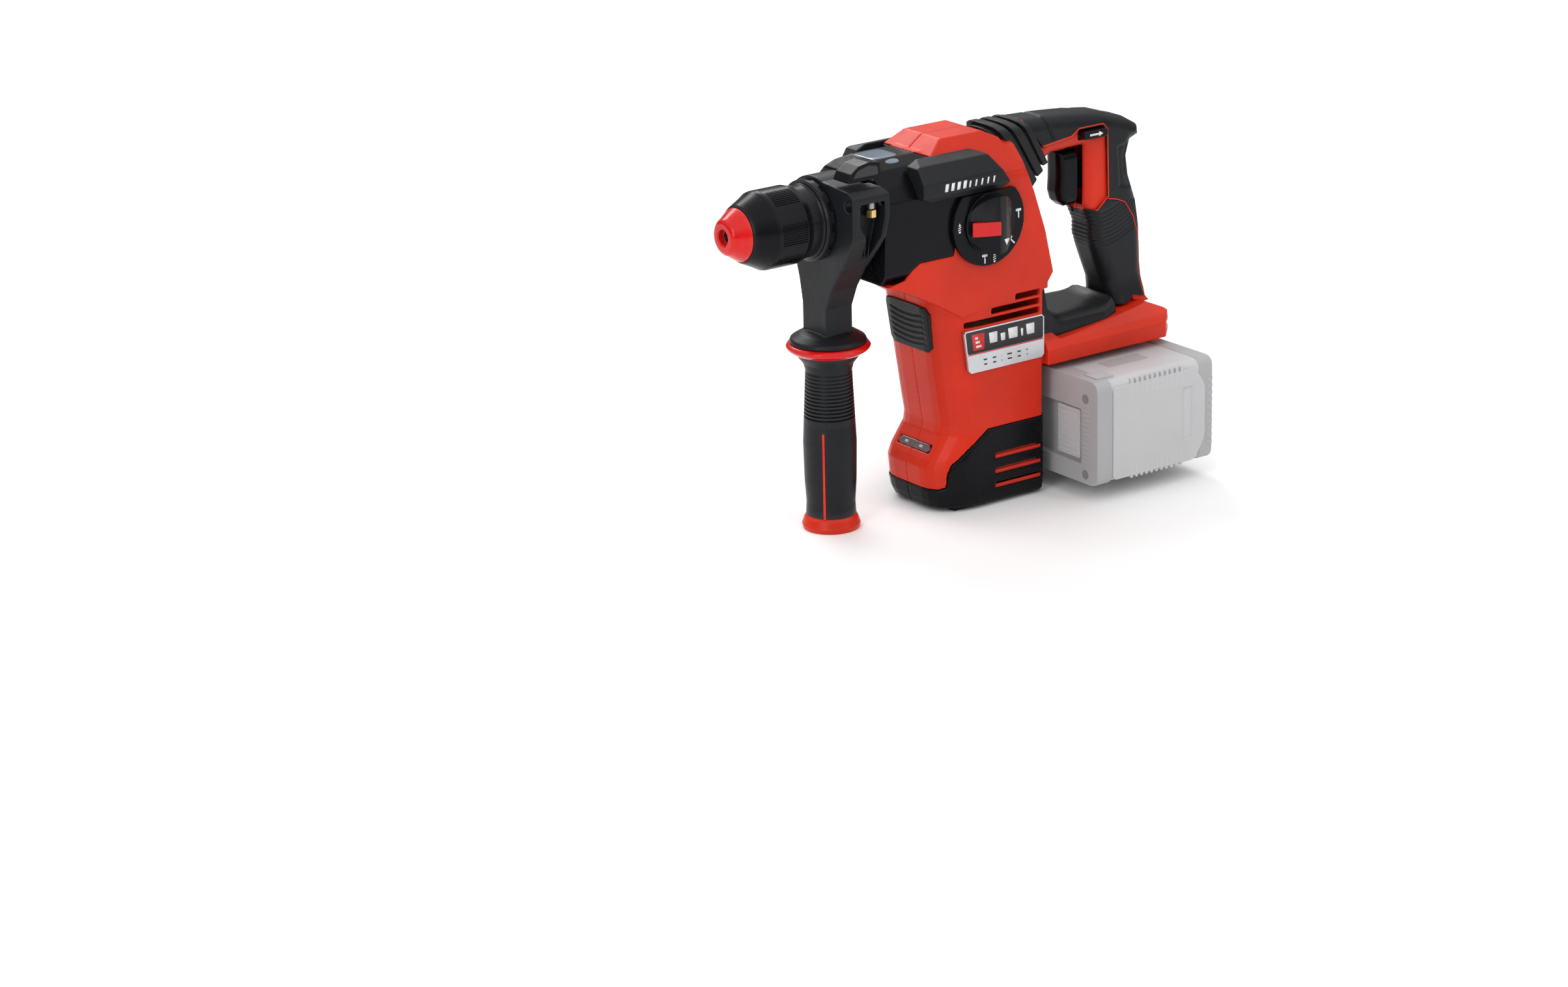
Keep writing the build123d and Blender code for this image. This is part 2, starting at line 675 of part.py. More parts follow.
def make_rear_handle():
    for name, side in (("handle_left", -1), ("handle_right", 1)):
        with BuildPart() as shell:
            extrude(face_xz(handle_outline, inset=skin), amount=handle_half - skin, both=True)
            extrude(face_xz(handle_outline, inset=skin + wall), amount=handle_half - skin - wall,
                    both=True, mode=Mode.SUBTRACT)
            with Locations((292, 0, -6)):
                Box(20, 23.2, 64, mode=Mode.SUBTRACT)
            with Locations((300, 0, -1.5)):
                Box(10, 23.2, 56, mode=Mode.SUBTRACT)
            with Locations((pivot_x, 0, -109)):
                Box(14, 20, 16)
            with Locations((pivot_x, 0, pivot_z)):
                Cylinder(3.05, 80, rotation=(90, 0, 0), mode=Mode.SUBTRACT)
            with Locations((304, 0, 24)):
                Box(24, 80, 7.6, mode=Mode.SUBTRACT)
            with Locations((300, -side * 100, -30)):
                Box(200, 200, 200, mode=Mode.SUBTRACT)
        save(shell.part, name)

    with BuildPart() as grip:
        extrude(face_xz(grip_outline), amount=handle_half, both=True)
        extrude(face_xz(handle_outline, inset=skin), amount=handle_half - skin, both=True,
                mode=Mode.SUBTRACT)
        with Locations((292, 0, -6)):
            Box(20, 23.2, 64, mode=Mode.SUBTRACT)
        with Locations((300, 0, -1.5)):
            Box(10, 23.2, 56, mode=Mode.SUBTRACT)
        with Locations((304, 0, 24)):
            Box(24, 80, 7.6, mode=Mode.SUBTRACT)
        with Locations((pivot_x, 0, -104)):
            Box(18, 24, 24, mode=Mode.SUBTRACT)
    save(grip.part, "handle_grip")

    with BuildPart() as trigger:
        extrude(face_xz([(273, 12.4), (272, -17), (275.5, -24), (282, -28), (296, -28), (296, 12.4)]),
                amount=11, both=True)
        with Locations((300, 0, -8)):
            Box(12, 14, 20)
        with Locations((303, 0, -8)):
            Cylinder(4.2, 8, rotation=(0, 90, 0), mode=Mode.SUBTRACT)
    save(trigger.part, "trigger")
    coil("trigger_spring", (299.5, 0, -8), (1, 0, 0), 17, 3.2, 0.5, 7)

    with BuildPart() as switch:
        with Locations((322, 0, -6)):
            Box(10, 18, 30)
    save(switch.part, "switch_module")

    with BuildPart() as direction:
        with Locations((304, 0, 24)):
            Box(22, 2 * handle_half + 7, 6)
    save(direction.part, "direction_switch")

    with BuildPart() as bellows:
        outline = [(213, 42), (240.5, 43), (258.5, 14), (255, 4), (250, 1), (236, 8), (222, 18)]
        extrude(face_xz(outline), amount=20, both=True)
        extrude(face_xz(outline, inset=2.4), amount=17.6, both=True, mode=Mode.SUBTRACT)
        add(body_form(-gap), mode=Mode.SUBTRACT)
    save(bellows.part, "bellows")

    with BuildPart() as pin:
        with Locations((pivot_x, 0, pivot_z)):
            Cylinder(3.0, 28, rotation=(90, 0, 0))
    save(pin.part, "handle_pivot_pin")


# ---- side handle --------------------------------------------------------------------------------
wing_side = [(69.8, 26), (98, 26), (101, 22), (101, 6), (92.2, -30), (69.8, -30)]
wing_front = [(-26, -40), (-41, -16), (-46, -7), (-46, 22), (-40, 26), (-26, 26)]
pocket_side = [(76, 17), (97, 17), (97, 6), (89, -24), (84, -24), (80, -4), (76, 2)]
button_side = [(72, 31), (75, 37), (82, 42), (90, 43.5), (99, 42), (100.4, 31)]


def bracket_wing():
    """Box on the bracket's left that holds the depth-rod clamp."""
    with BuildPart() as wing:
        extrude(face_xz(wing_side, y=-26), amount=20)
        extrude(face_yz(wing_front, x=60), amount=50, mode=Mode.INTERSECT)
    return wing.part


def make_bracket():
    wing = bracket_wing()
    with BuildPart() as bracket:
        with BuildSketch(Plane.YZ.offset(69.8)):
            Circle(30)
            add(face_outline(mirrored([(13.5, -84), (13.5, -62), (17, -44), (26, -15)])))
            add(face_outline([
                (-13.5, -62), (-20, -47), (-41, -16), (-46, -7), (-46, 22), (-40, 26), (-10, 28),
            ]))
        extrude(amount=22.4)
        add(wing)
        revolve(turned_z([
            (4.2, -80), (14, -80), (20, -81.5), (26, -85), (27.2, -88.1), (4.2, -88.1),
        ], grip_x), axis=axis_grip)
        with Locations((81, 0, 0)):
            Cylinder(neck_r + fit, 40, rotation=(0, 90, 0), mode=Mode.SUBTRACT)
        # open pocket in the left side, wide at the top for the depth-rod clamp
        extrude(face_xz(pocket_side, y=-35), amount=14, mode=Mode.SUBTRACT)
        with Locations((80, -40, 16)):
            Cylinder(4.0, 60, rotation=(0, 90, 0), mode=Mode.SUBTRACT)
        with Locations((grip_x, 0, -60)):
            Cylinder(4.2, 60, mode=Mode.SUBTRACT)
    save(bracket.part, "handle_bracket")


def make_side_handle():
    with BuildPart() as bolt:
        with Locations((grip_x, 0, -72)):
            Cylinder(4.0, 80)
    save(bolt.part, "clamp_bolt")

    with BuildPart() as nut:
        with BuildSketch(Plane.XY.offset(6)):
            with Locations((90, -39)):
                RegularPolygon(3.6, 6)
                Circle(1.6, mode=Mode.SUBTRACT)
        extrude(amount=5)
    save(nut.part, "depth_stop_nut")

    with BuildPart() as button:
        extrude(face_xz(button_side, y=-20), amount=18)
    save(button.part, "depth_stop_button")

    with BuildPart() as core:
        revolve(turned_z([
            (4 + fit, -96), (14, -96), (14, -212), (17, -212), (18.6, -214), (20.4, -219), (19.6, floor_z),
            (0, floor_z), (0, -218), (4 + fit, -218),
        ], grip_x), axis=axis_grip)
        for angle in (39, 219):
            with Locations(Location((grip_x, 0, 0), (0, 0, angle))):
                with Locations((15.4, 0, -181)):
                    Box(5.6, 1.6, 62)
    save(core.part, "grip_core")

    with BuildPart() as cover:
        revolve(turned_z([
            (14, -95.5), (23, -95.5), (21.5, -98), (17.6, -103), (16.2, -108), (17.2, -130), (18.6, -160),
            (18.0, -188), (17.0, -203), (17.4, -211.7), (14, -211.7),
        ], grip_x), axis=axis_grip)
        for level in range(13):
            revolve(turned_z([
                (15.6, -109 - 2.6 * level), (19, -109 - 2.6 * level), (19, -110.2 - 2.6 * level),
                (15.9, -110.2 - 2.6 * level),
            ], grip_x), axis=axis_grip, mode=Mode.SUBTRACT)
        for angle in (39, 219):
            with Locations(Location((grip_x, 0, 0), (0, 0, angle))):
                with Locations((16.5, 0, -181)):
                    Box(9, 2.2, 62.6, mode=Mode.SUBTRACT)
    save(cover.part, "grip_cover")

    with BuildPart() as flange:
        revolve(turned_z([
            (4.3, -88.4), (27.6, -88.4), (29.5, flange_z), (28.6, -92.5), (25, -95.2), (4.3, -95.2),
        ], grip_x), axis=axis_grip)
    save(flange.part, "hand_guard")


# ---- batteries ----------------------------------------------------------------------------------
def make_batteries():
    middle_x = (pack_x[0] + pack_x[1]) / 2
    middle_z = (pack_z[0] + pack_z[1]) / 2
    with BuildPart() as mount:
        with Locations((302, 0, -168)):
            Box(104, 20, 76)
        with Locations((302, 0, -130.3)):
            Box(96, 32, 4)
        for side in (-1, 1):
            for z in (-152, -190):
                with Locations((302, side * 11.5, z)):
                    Box(90, 3, 5)
    save(mount.part, "battery_rail_plate")

    for name, side in (("left", -1), ("right", 1)):
        with BuildPart() as pack:
            with Locations((middle_x, side * (pack_y[0] + pack_y[1]) / 2, middle_z)):
                Box(pack_x[1] - pack_x[0], pack_y[1] - pack_y[0], pack_z[1] - pack_z[0])
            fillet(pack.edges().filter_by(Axis.X), 6)
            for z in (-142.4, -162, -180, -199.6):
                with Locations((middle_x, side * 15, z)):
                    Box(88, 4.6, 9)
            with Locations((pack_x[0] + 14, side * 70, pack_z[1])):
                Box(16, 14, 10, mode=Mode.SUBTRACT)
        save(pack.part, f"battery_{name}")
        with BuildPart() as latch:
            with Locations((pack_x[0] + 14, side * 70, pack_z[1] - 0.9)):
                Box(15.2, 13.2, 3)
        save(latch.part, f"battery_latch_{name}")


make_spindle()
make_dust_cap()
make_locking_sleeve()
make_chuck_rear()
make_hammer_parts()
make_gears()
make_bearings()
make_inner_frame()
make_motor()
make_housings()
make_skirts()
make_gear_housing()
make_trim()
make_screws()
make_dial()
make_rear_handle()
make_bracket()
make_side_handle()
make_batteries()
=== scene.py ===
import json
import math

import bmesh
import bpy
import numpy as np
from mathutils import Matrix, Vector


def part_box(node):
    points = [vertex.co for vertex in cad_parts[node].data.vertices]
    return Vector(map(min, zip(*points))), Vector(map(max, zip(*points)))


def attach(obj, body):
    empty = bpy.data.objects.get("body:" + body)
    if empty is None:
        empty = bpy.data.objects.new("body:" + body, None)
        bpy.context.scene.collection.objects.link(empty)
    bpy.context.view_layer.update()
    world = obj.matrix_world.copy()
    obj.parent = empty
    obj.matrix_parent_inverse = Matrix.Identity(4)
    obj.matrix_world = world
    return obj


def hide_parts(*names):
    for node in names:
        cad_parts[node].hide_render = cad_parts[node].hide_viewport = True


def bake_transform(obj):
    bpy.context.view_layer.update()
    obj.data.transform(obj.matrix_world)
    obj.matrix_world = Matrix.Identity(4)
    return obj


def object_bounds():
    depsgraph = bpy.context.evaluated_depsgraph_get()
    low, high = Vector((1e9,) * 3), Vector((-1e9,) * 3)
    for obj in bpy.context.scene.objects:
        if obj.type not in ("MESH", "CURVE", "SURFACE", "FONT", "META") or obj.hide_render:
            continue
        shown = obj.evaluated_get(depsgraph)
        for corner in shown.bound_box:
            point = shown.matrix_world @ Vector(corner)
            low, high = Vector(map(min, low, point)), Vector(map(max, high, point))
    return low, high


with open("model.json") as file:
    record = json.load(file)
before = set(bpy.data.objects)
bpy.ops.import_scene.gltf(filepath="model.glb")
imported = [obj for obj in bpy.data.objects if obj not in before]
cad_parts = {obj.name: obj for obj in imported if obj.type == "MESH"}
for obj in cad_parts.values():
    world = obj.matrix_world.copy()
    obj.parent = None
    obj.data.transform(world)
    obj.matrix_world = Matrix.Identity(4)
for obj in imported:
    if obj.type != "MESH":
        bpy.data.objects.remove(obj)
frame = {"nodes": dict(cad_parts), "record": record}
nodes = frame["nodes"]
cad_low, cad_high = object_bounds()
mm = 0.001


# ---- camera, lights and floor -------------------------------------------------------------------
def make_camera():
    """Long lens from the tool's front left, a little above it, level but for a small roll."""
    azimuth, elevation, roll = (math.radians(angle) for angle in (-35.799, 18.752, -1.263))
    place = Vector((-1.618444, -2.300891, 0.773188))
    back = Vector((math.sin(azimuth) * math.cos(elevation), -math.cos(azimuth) * math.cos(elevation),
                   math.sin(elevation)))
    right = Vector((0, 0, 1)).cross(back).normalized()
    up = back.cross(right)
    x_axis = right * math.cos(roll) + up * math.sin(roll)
    y_axis = up * math.cos(roll) - right * math.sin(roll)
    data = bpy.data.cameras.new("camera")
    data.lens = 100.119
    data.sensor_width = 36.0
    data.clip_end = 20.0
    camera = bpy.data.objects.new("camera", data)
    matrix = Matrix((x_axis, y_axis, back)).transposed().to_4x4()
    matrix.translation = place
    camera.matrix_world = matrix
    bpy.context.scene.collection.objects.link(camera)
    bpy.context.scene.camera = camera


def area_light(name, place, target, size, power):
    data = bpy.data.lights.new(name, "AREA")
    data.shape = "RECTANGLE"
    data.size, data.size_y = size
    data.energy = power
    light = bpy.data.objects.new(name, data)
    light.location = place
    aim = Vector(target) - Vector(place)
    light.rotation_euler = aim.to_track_quat("-Z", "Y").to_euler()
    bpy.context.scene.collection.objects.link(light)


def studio_sky():
    """Bright overhead, dim towards the horizon, as in a booth with a light ceiling."""
    world = bpy.data.worlds.new("studio")
    world.use_nodes = True
    tree = world.node_tree
    background = tree.nodes["Background"]
    background.inputs["Color"].default_value = (1.0, 1.0, 1.0, 1)
    place = tree.nodes.new("ShaderNodeTexCoord")
    split = tree.nodes.new("ShaderNodeSeparateXYZ")
    by_height = tree.nodes.new("ShaderNodeMapRange")
    by_height.interpolation_type = "SMOOTHSTEP"
    by_height.inputs["From Min"].default_value = 0.12
    by_height.inputs["From Max"].default_value = 0.75
    by_height.inputs["To Min"].default_value = 0.16
    by_height.inputs["To Max"].default_value = 1.25
    tree.links.new(place.outputs["Generated"], split.inputs["Vector"])
    tree.links.new(split.outputs["Z"], by_height.inputs["Value"])
    tree.links.new(by_height.outputs["Result"], background.inputs["Strength"])
    bpy.context.scene.world = world


def make_studio():
    middle = (cad_low + cad_high) / 2
    area_light("front_left_softbox", (-1.4, -0.7, 0.7), middle, (0.4, 1.2), 7.5)
    area_light("right_strip", (0.9, -1.6, 0.9), middle, (0.25, 1.2), 4.5)
    area_light("back_rim", (0.4, 1.3, 1.0), middle, (1.4, 0.4), 12)
    studio_sky()
    bpy.context.scene.view_settings.view_transform = "Standard"

    reach, gap = 6.0, 0.0002
    corners = [(a * reach, b * reach, cad_low.z - gap) for a, b in ((-1, -1), (1, -1), (1, 1), (-1, 1))]
    mesh = bpy.data.meshes.new("floor")
    mesh.from_pydata(corners, [], [(0, 1, 2, 3)])
    floor = bpy.data.objects.new("floor", mesh)
    bpy.context.scene.collection.objects.link(floor)
    floor.data.materials.append(plain_material("floor_white", (0.93, 0.93, 0.93), 0.7))


# ---- materials ----------------------------------------------------------------------------------
def plain_material(name, colour, roughness):
    material = bpy.data.materials.new(name)
    material.use_nodes = True
    shader = material.node_tree.nodes["Principled BSDF"]
    shader.inputs["Base Color"].default_value = (*colour, 1)
    shader.inputs["Roughness"].default_value = roughness
    return material


class Shading:
    """A principled material with helpers for the procedural parts that they all share."""

    def __init__(self, name, colour, roughness, metallic=0.0, coat=0.0, specular=0.5):
        self.material = plain_material(name, colour, roughness)
        self.tree = self.material.node_tree
        self.shader = self.tree.nodes["Principled BSDF"]
        self.shader.inputs["Metallic"].default_value = metallic
        self.shader.inputs["Coat Weight"].default_value = coat
        self.shader.inputs["Coat Roughness"].default_value = 0.12
        self.shader.inputs["Specular IOR Level"].default_value = specular
        self.place = self.node("ShaderNodeTexCoord").outputs["Object"]

    def node(self, kind, **settings):
        made = self.tree.nodes.new(kind)
        for key, value in settings.items():
            setattr(made, key, value)
        return made

    def link(self, source, target):
        self.tree.links.new(source, target)

    def noise(self, scale, detail=3.0, roughness=0.55, stretch=None):
        made = self.node("ShaderNodeTexNoise")
        made.inputs["Scale"].default_value = scale
        made.inputs["Detail"].default_value = detail
        made.inputs["Roughness"].default_value = roughness
        if stretch:
            mapping = self.node("ShaderNodeMapping")
            mapping.inputs["Scale"].default_value = stretch
            self.link(self.place, mapping.inputs["Vector"])
            self.link(mapping.outputs["Vector"], made.inputs["Vector"])
        else:
            self.link(self.place, made.inputs["Vector"])
        return made.outputs["Fac"]

    def remap(self, value, low, high, start=0.0, end=1.0):
        made = self.node("ShaderNodeMapRange")
        made.inputs["From Min"].default_value = start
        made.inputs["From Max"].default_value = end
        made.inputs["To Min"].default_value = low
        made.inputs["To Max"].default_value = high
        self.link(value, made.inputs["Value"])
        return made.outputs["Result"]

    def mix(self, fac, first, second):
        made = self.node("ShaderNodeMix", data_type="RGBA")
        self.link(fac, made.inputs["Factor"])
        for socket, value in ((made.inputs["A"], first), (made.inputs["B"], second)):
            if isinstance(value, tuple):
                socket.default_value = (*value, 1)
            else:
                self.link(value, socket)
        return made.outputs["Result"]

    def add(self, *values):
        total = values[0]
        for value in values[1:]:
            made = self.node("ShaderNodeMath", operation="ADD")
            self.link(total, made.inputs[0])
            self.link(value, made.inputs[1])
            total = made.outputs[0]
        return total

    def times(self, value, factor):
        made = self.node("ShaderNodeMath", operation="MULTIPLY")
        self.link(value, made.inputs[0])
        made.inputs[1].default_value = factor
        return made.outputs[0]

    def bump(self, height, distance, strength=1.0):
        made = self.node("ShaderNodeBump")
        made.inputs["Strength"].default_value = strength
        made.inputs["Distance"].default_value = distance
        self.link(height, made.inputs["Height"])
        self.link(made.outputs["Normal"], self.shader.inputs["Normal"])

    def edges(self):
        """1 on convex edges, 0 elsewhere."""
        flat, sharp = 0.515, 0.6
        point = self.node("ShaderNodeNewGeometry").outputs["Pointiness"]
        return self.remap(point, 0.0, 1.0, flat, sharp)

    def finish(self, colour, roughness):
        self.link(colour, self.shader.inputs["Base Color"])
        self.link(roughness, self.shader.inputs["Roughness"])
        return self.material


def moulded(name, colour, roughness=0.42, grain=900.0, depth=0.06, wear=0.1, coat=0.0, spread=0.12,
            specular=0.5):
    """Spark-eroded moulding texture, faint colour clouds, polished spots and paler worn edges.

    Grain is the texture's scale per metre and depth its height in millimetres; wear is how much paler an edge
    is, and spread how far the colour clouds differ.
    """
    s = Shading(name, colour, roughness, coat=coat, specular=specular)
    clouds = s.noise(18.0, 4.0)
    smudges = s.noise(55.0, 5.0, 0.6)
    fine = s.noise(grain, 2.0, 0.6)
    darker = tuple(c * (1 - spread) for c in colour)
    lighter = tuple(min(1.0, c * (1 + spread)) for c in colour)
    base = s.mix(s.remap(clouds, 0.0, 1.0, 0.3, 0.7), darker, lighter)
    base = s.mix(s.times(s.edges(), 0.4), base, tuple(min(1.0, c * 1.25 + wear) for c in colour))
    rough = s.add(s.remap(smudges, roughness - 0.07, roughness + 0.07, 0.3, 0.7),
                  s.remap(fine, -0.05, 0.05, 0.3, 0.7))
    s.bump(s.add(fine, s.times(clouds, 0.4)), depth * mm)
    return s.finish(base, rough)


def metal(name, colour, roughness=0.3, stretch=(1, 1, 1), depth=0.01, stain=0.25):
    """Machined metal: fine tool lines, stretched along one axis, and oily stains."""
    s = Shading(name, colour, roughness, metallic=1.0)
    lines = s.noise(1500.0, 2.0, 0.5, stretch)
    stains = s.noise(60.0, 5.0, 0.65)
    base = s.mix(s.remap(stains, 0.0, stain, 0.45, 0.75), colour, tuple(c * 0.45 for c in colour))
    rough = s.add(s.remap(lines, roughness - 0.08, roughness + 0.08, 0.3, 0.7),
                  s.remap(stains, 0.0, 0.1, 0.4, 0.8))
    s.bump(lines, depth * mm)
    return s.finish(base, rough)


def window(name):
    """Smoked clear window of the work light, lightly scuffed."""
    s = Shading(name, (0.12, 0.07, 0.07), 0.1, coat=0.6)
    scuffs = s.noise(400.0, 4.0, 0.7)
    base = s.mix(s.remap(scuffs, 0.0, 1.0, 0.45, 0.7), (0.09, 0.045, 0.045), (0.16, 0.1, 0.1))
    s.bump(scuffs, 0.02 * mm)
    return s.finish(base, s.remap(scuffs, 0.06, 0.22, 0.35, 0.7))


materials = {
    "red_plastic": moulded("red_plastic", (0.60, 0.024, 0.006), 0.36, 1100, 0.035, 0.04, specular=0.22),
    "black_plastic": moulded("black_plastic", (0.0035, 0.0038, 0.0055), 0.26, 800, 0.03, 0.03, spread=0.25,
                             specular=0.13),
    "black_rubber": moulded("black_rubber", (0.0095, 0.0105, 0.0125), 0.4, 700, 0.06, 0.03, spread=0.2,
                            specular=0.2),
    "red_rubber": moulded("red_rubber", (0.60, 0.004, 0.004), 0.2, 500, 0.02, 0.04, coat=0.1, specular=0.3),
    "steel": metal("steel", (0.62, 0.62, 0.64), 0.26, (1, 8, 8)),
    "gear_steel": metal("gear_steel", (0.42, 0.42, 0.44), 0.36, (1, 1, 6)),
    "brass_metal": metal("brass_metal", (0.78, 0.56, 0.22), 0.28, (1, 1, 8)),
    "cast_aluminium": metal("cast_aluminium", (0.60, 0.61, 0.63), 0.5, (1, 1, 1), 0.05),
    "lens": window("lens"),
    "plate_print": metal("plate_print", (0.62, 0.63, 0.65), 0.36, (14, 1, 1), 0.008, 0.08),
    "pack_grey": moulded("pack_grey", (0.50, 0.50, 0.51), 0.45, 900, 0.05, 0.1, spread=0.04, specular=0.3),
    "pack_latch": moulded("pack_latch", (0.38, 0.38, 0.39), 0.45, 900, 0.05, 0.1, spread=0.05,
                          specular=0.3),
    # dark grey that paints the shade inside the battery's screw wells
    "well_shade_grey": moulded("well_shade_grey", (0.20, 0.20, 0.205), 0.5, 900, 0.03, 0.05, specular=0.2),
    "board_green": moulded("board_green", (0.02, 0.12, 0.05), 0.3, 1500, 0.02, 0.05),
    "copper_winding": metal("copper_winding", (0.5, 0.26, 0.14), 0.34, (1, 1, 20), 0.06),
    "white_print": moulded("white_print", (0.72, 0.72, 0.73), 0.45, 1500, 0.01, 0.05, spread=0.05),
    "dark_print": moulded("dark_print", (0.030, 0.030, 0.034), 0.5, 1500, 0.01, 0.02, spread=0.2,
                          specular=0.3),
    "red_print": moulded("red_print", (0.62, 0.012, 0.010), 0.45, 1500, 0.01, 0.05, spread=0.1),
    "blue_inlay": moulded("blue_inlay", (0.11, 0.15, 0.20), 0.18, 1500, 0.01, 0.05, coat=0.6),
    "gloss_black": moulded("gloss_black", (0.006, 0.006, 0.007), 0.2, 1200, 0.012, 0.02, spread=0.2,
                           specular=0.5),
}


# ---- building pieces ----------------------------------------------------------------------------
# An outline's two axes: a prism on them rises to the tool's left (-Y), right, front (-X), rear or top.
to_left, to_right = ((1, 0, 0), (0, 0, 1)), ((-1, 0, 0), (0, 0, 1))
to_front, to_rear = ((0, -1, 0), (0, 0, 1)), ((0, 1, 0), (0, 0, 1))
to_top = ((1, 0, 0), (0, 1, 0))
sides = ((-1, "left"), (1, "right"))


def box_mm(node):
    low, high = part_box(node)
    return Vector(low) / mm, Vector(high) / mm


def add_bevel(obj, width, segments, harden_normals=False):
    """Rounds the edges that turn by more than 32 degrees."""
    bevel = obj.modifiers.new("soft_edges", "BEVEL")
    bevel.width = width * mm
    bevel.segments = segments
    bevel.limit_method = "ANGLE"
    bevel.angle_limit = math.radians(32)
    bevel.harden_normals = harden_normals


def add_piece(name, mesh, look, body, bevel=0.0, segments=2, hides=()):
    mesh.transform(Matrix.Scale(mm, 4))
    obj = bpy.data.objects.new(name, mesh)
    bpy.context.scene.collection.objects.link(obj)
    obj.data.materials.append(materials[look])
    for face in mesh.polygons:
        face.use_smooth = True
    if bevel:
        add_bevel(obj, bevel, segments, harden_normals=True)
    if body:
        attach(obj, body)
    if hides:
        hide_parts(*hides)
    return obj


def rounded(points, radius, steps=4):
    """A closed outline with its corners rounded, each within 45 % of its shorter side."""
    out = []
    count = len(points)
    for k in range(count):
        before, here, after = (Vector(points[(k + j) % count]) for j in (-1, 0, 1))
        to_before, to_after = (before - here), (after - here)
        reach = min(radius, to_before.length * 0.45, to_after.length * 0.45)
        start, end = here + to_before.normalized() * reach, here + to_after.normalized() * reach
        for j in range(steps + 1):
            t = j / steps
            out.append(tuple((1 - t) ** 2 * start + 2 * t * (1 - t) * here + t * t * end))
    return out


def rectangle(a0, a1, b0, b1, radius=0.0, steps=4):
    a0, a1 = sorted((a0, a1))
    corners = [(a0, b0), (a1, b0), (a1, b1), (a0, b1)]
    return rounded(corners, radius, steps) if radius else corners


def circle(a, b, radius, step):
    """A circle round (a, b) with a point every step degrees."""
    turns = [math.radians(angle) for angle in range(0, 360, step)]
    return [(a + radius * math.cos(turn), b + radius * math.sin(turn)) for turn in turns]


def prism(bm, outline, origin, u, v, rise, sink=0.0):
    """Prism on an outline of (u, v) points, from sink below origin to rise above it along u x v."""
    origin, u, v = Vector(origin), Vector(u).normalized(), Vector(v).normalized()
    normal = u.cross(v)
    base = [bm.verts.new(origin + u * a + v * b - normal * sink) for a, b in outline]
    top = [bm.verts.new(origin + u * a + v * b + normal * rise) for a, b in outline]
    edges = [(k, (k + 1) % len(outline)) for k in range(len(outline))]
    area = sum(outline[k][0] * outline[j][1] - outline[j][0] * outline[k][1] for k, j in edges)
    faces = [tuple(reversed(base)), tuple(top)] + [(base[k], base[j], top[j], top[k]) for k, j in edges]
    for face in faces:
        bm.faces.new(face if area > 0 else tuple(reversed(face)))


def on_side(side, outline, y, rise, sink):
    """What prism needs for an outline of (x, z) points on a left (-1) or right (1) face."""
    axes = to_left if side < 0 else to_right
    return [(-side * x, z) for x, z in outline], (0, y, 0), *axes, rise, sink


def loft(bm, rings, closed=True):
    """Faces from each ring of vertices to the next; closed rings get a face at both ends."""
    count = len(rings[0])
    for first, second in zip(rings, rings[1:]):
        for k in range(count if closed else count - 1):
            j = (k + 1) % count
            bm.faces.new((first[k], first[j], second[j], second[k]))
    if closed:
        bm.faces.new(tuple(reversed(rings[0])))
        bm.faces.new(tuple(rings[-1]))
    bmesh.ops.recalc_face_normals(bm, faces=bm.faces)


def mesh_from(bm, name):
    mesh = bpy.data.meshes.new(name)
    bm.to_mesh(mesh)
    bm.free()
    return mesh


def prism_mesh(name, shapes):
    bm = bmesh.new()
    for shape in shapes:
        prism(bm, *shape)
    return mesh_from(bm, name)


def combined(mesh, other, operation):
    """The first mesh with the other one taken away, or the part that both share."""
    whole = bpy.data.objects.new("whole", mesh)
    cutter = bpy.data.objects.new("cutter", other)
    for obj in (whole, cutter):
        bpy.context.scene.collection.objects.link(obj)
    boolean = whole.modifiers.new("boolean", "BOOLEAN")
    boolean.operation = operation
    boolean.solver = "EXACT"
    boolean.object = cutter
    result = bpy.data.meshes.new_from_object(whole.evaluated_get(bpy.context.evaluated_depsgraph_get()))
    for obj in (whole, cutter):
        bpy.data.objects.remove(obj)
    return result


def prisms(name, shapes, look, slot, body, bevel=0.3, segments=2, hides=(), cuts=()):
    """One piece made of several prisms; each shape is the arguments of prism after bm."""
    mesh = prism_mesh(name, shapes)
    if cuts:
        mesh = combined(mesh, prism_mesh("cuts", cuts), "DIFFERENCE")
    return add_piece(name, mesh, look, body, bevel, segments, hides)


def tube(name, points, radius, look, body):
    """A round bead along points."""
    curve = bpy.data.curves.new(name, "CURVE")
    curve.dimensions = "3D"
    curve.bevel_depth = radius * mm
    curve.bevel_resolution = 3
    curve.use_fill_caps = True
    spline = curve.splines.new("POLY")
    spline.points.add(len(points) - 1)
    for point, place in zip(spline.points, points):
        point.co = (*(c * mm for c in place), 1)
    holder = bpy.data.objects.new(name + "_path", curve)
    mesh = bpy.data.meshes.new_from_object(holder)
    bpy.data.objects.remove(holder)
    mesh.transform(Matrix.Scale(1 / mm, 4))
    return add_piece(name, mesh, look, body)


# ---- reshaping CAD parts ------------------------------------------------------------------------
def soften(obj, voxel, passes):
    """Rounds every edge, as a mould does, by an even remesh with smoothing on top of it."""
    remesh = obj.modifiers.new("even_mesh", "REMESH")
    remesh.mode = "VOXEL"
    remesh.voxel_size = voxel * mm
    remesh.use_smooth_shade = True
    smooth = obj.modifiers.new("round_edges", "SMOOTH")
    smooth.iterations = passes


def flat_faces(node):
    for face in nodes[node].data.polygons:
        face.use_smooth = False


def bevelled(node, width, segments=2):
    flat_faces(node)
    add_bevel(nodes[node], width, segments)


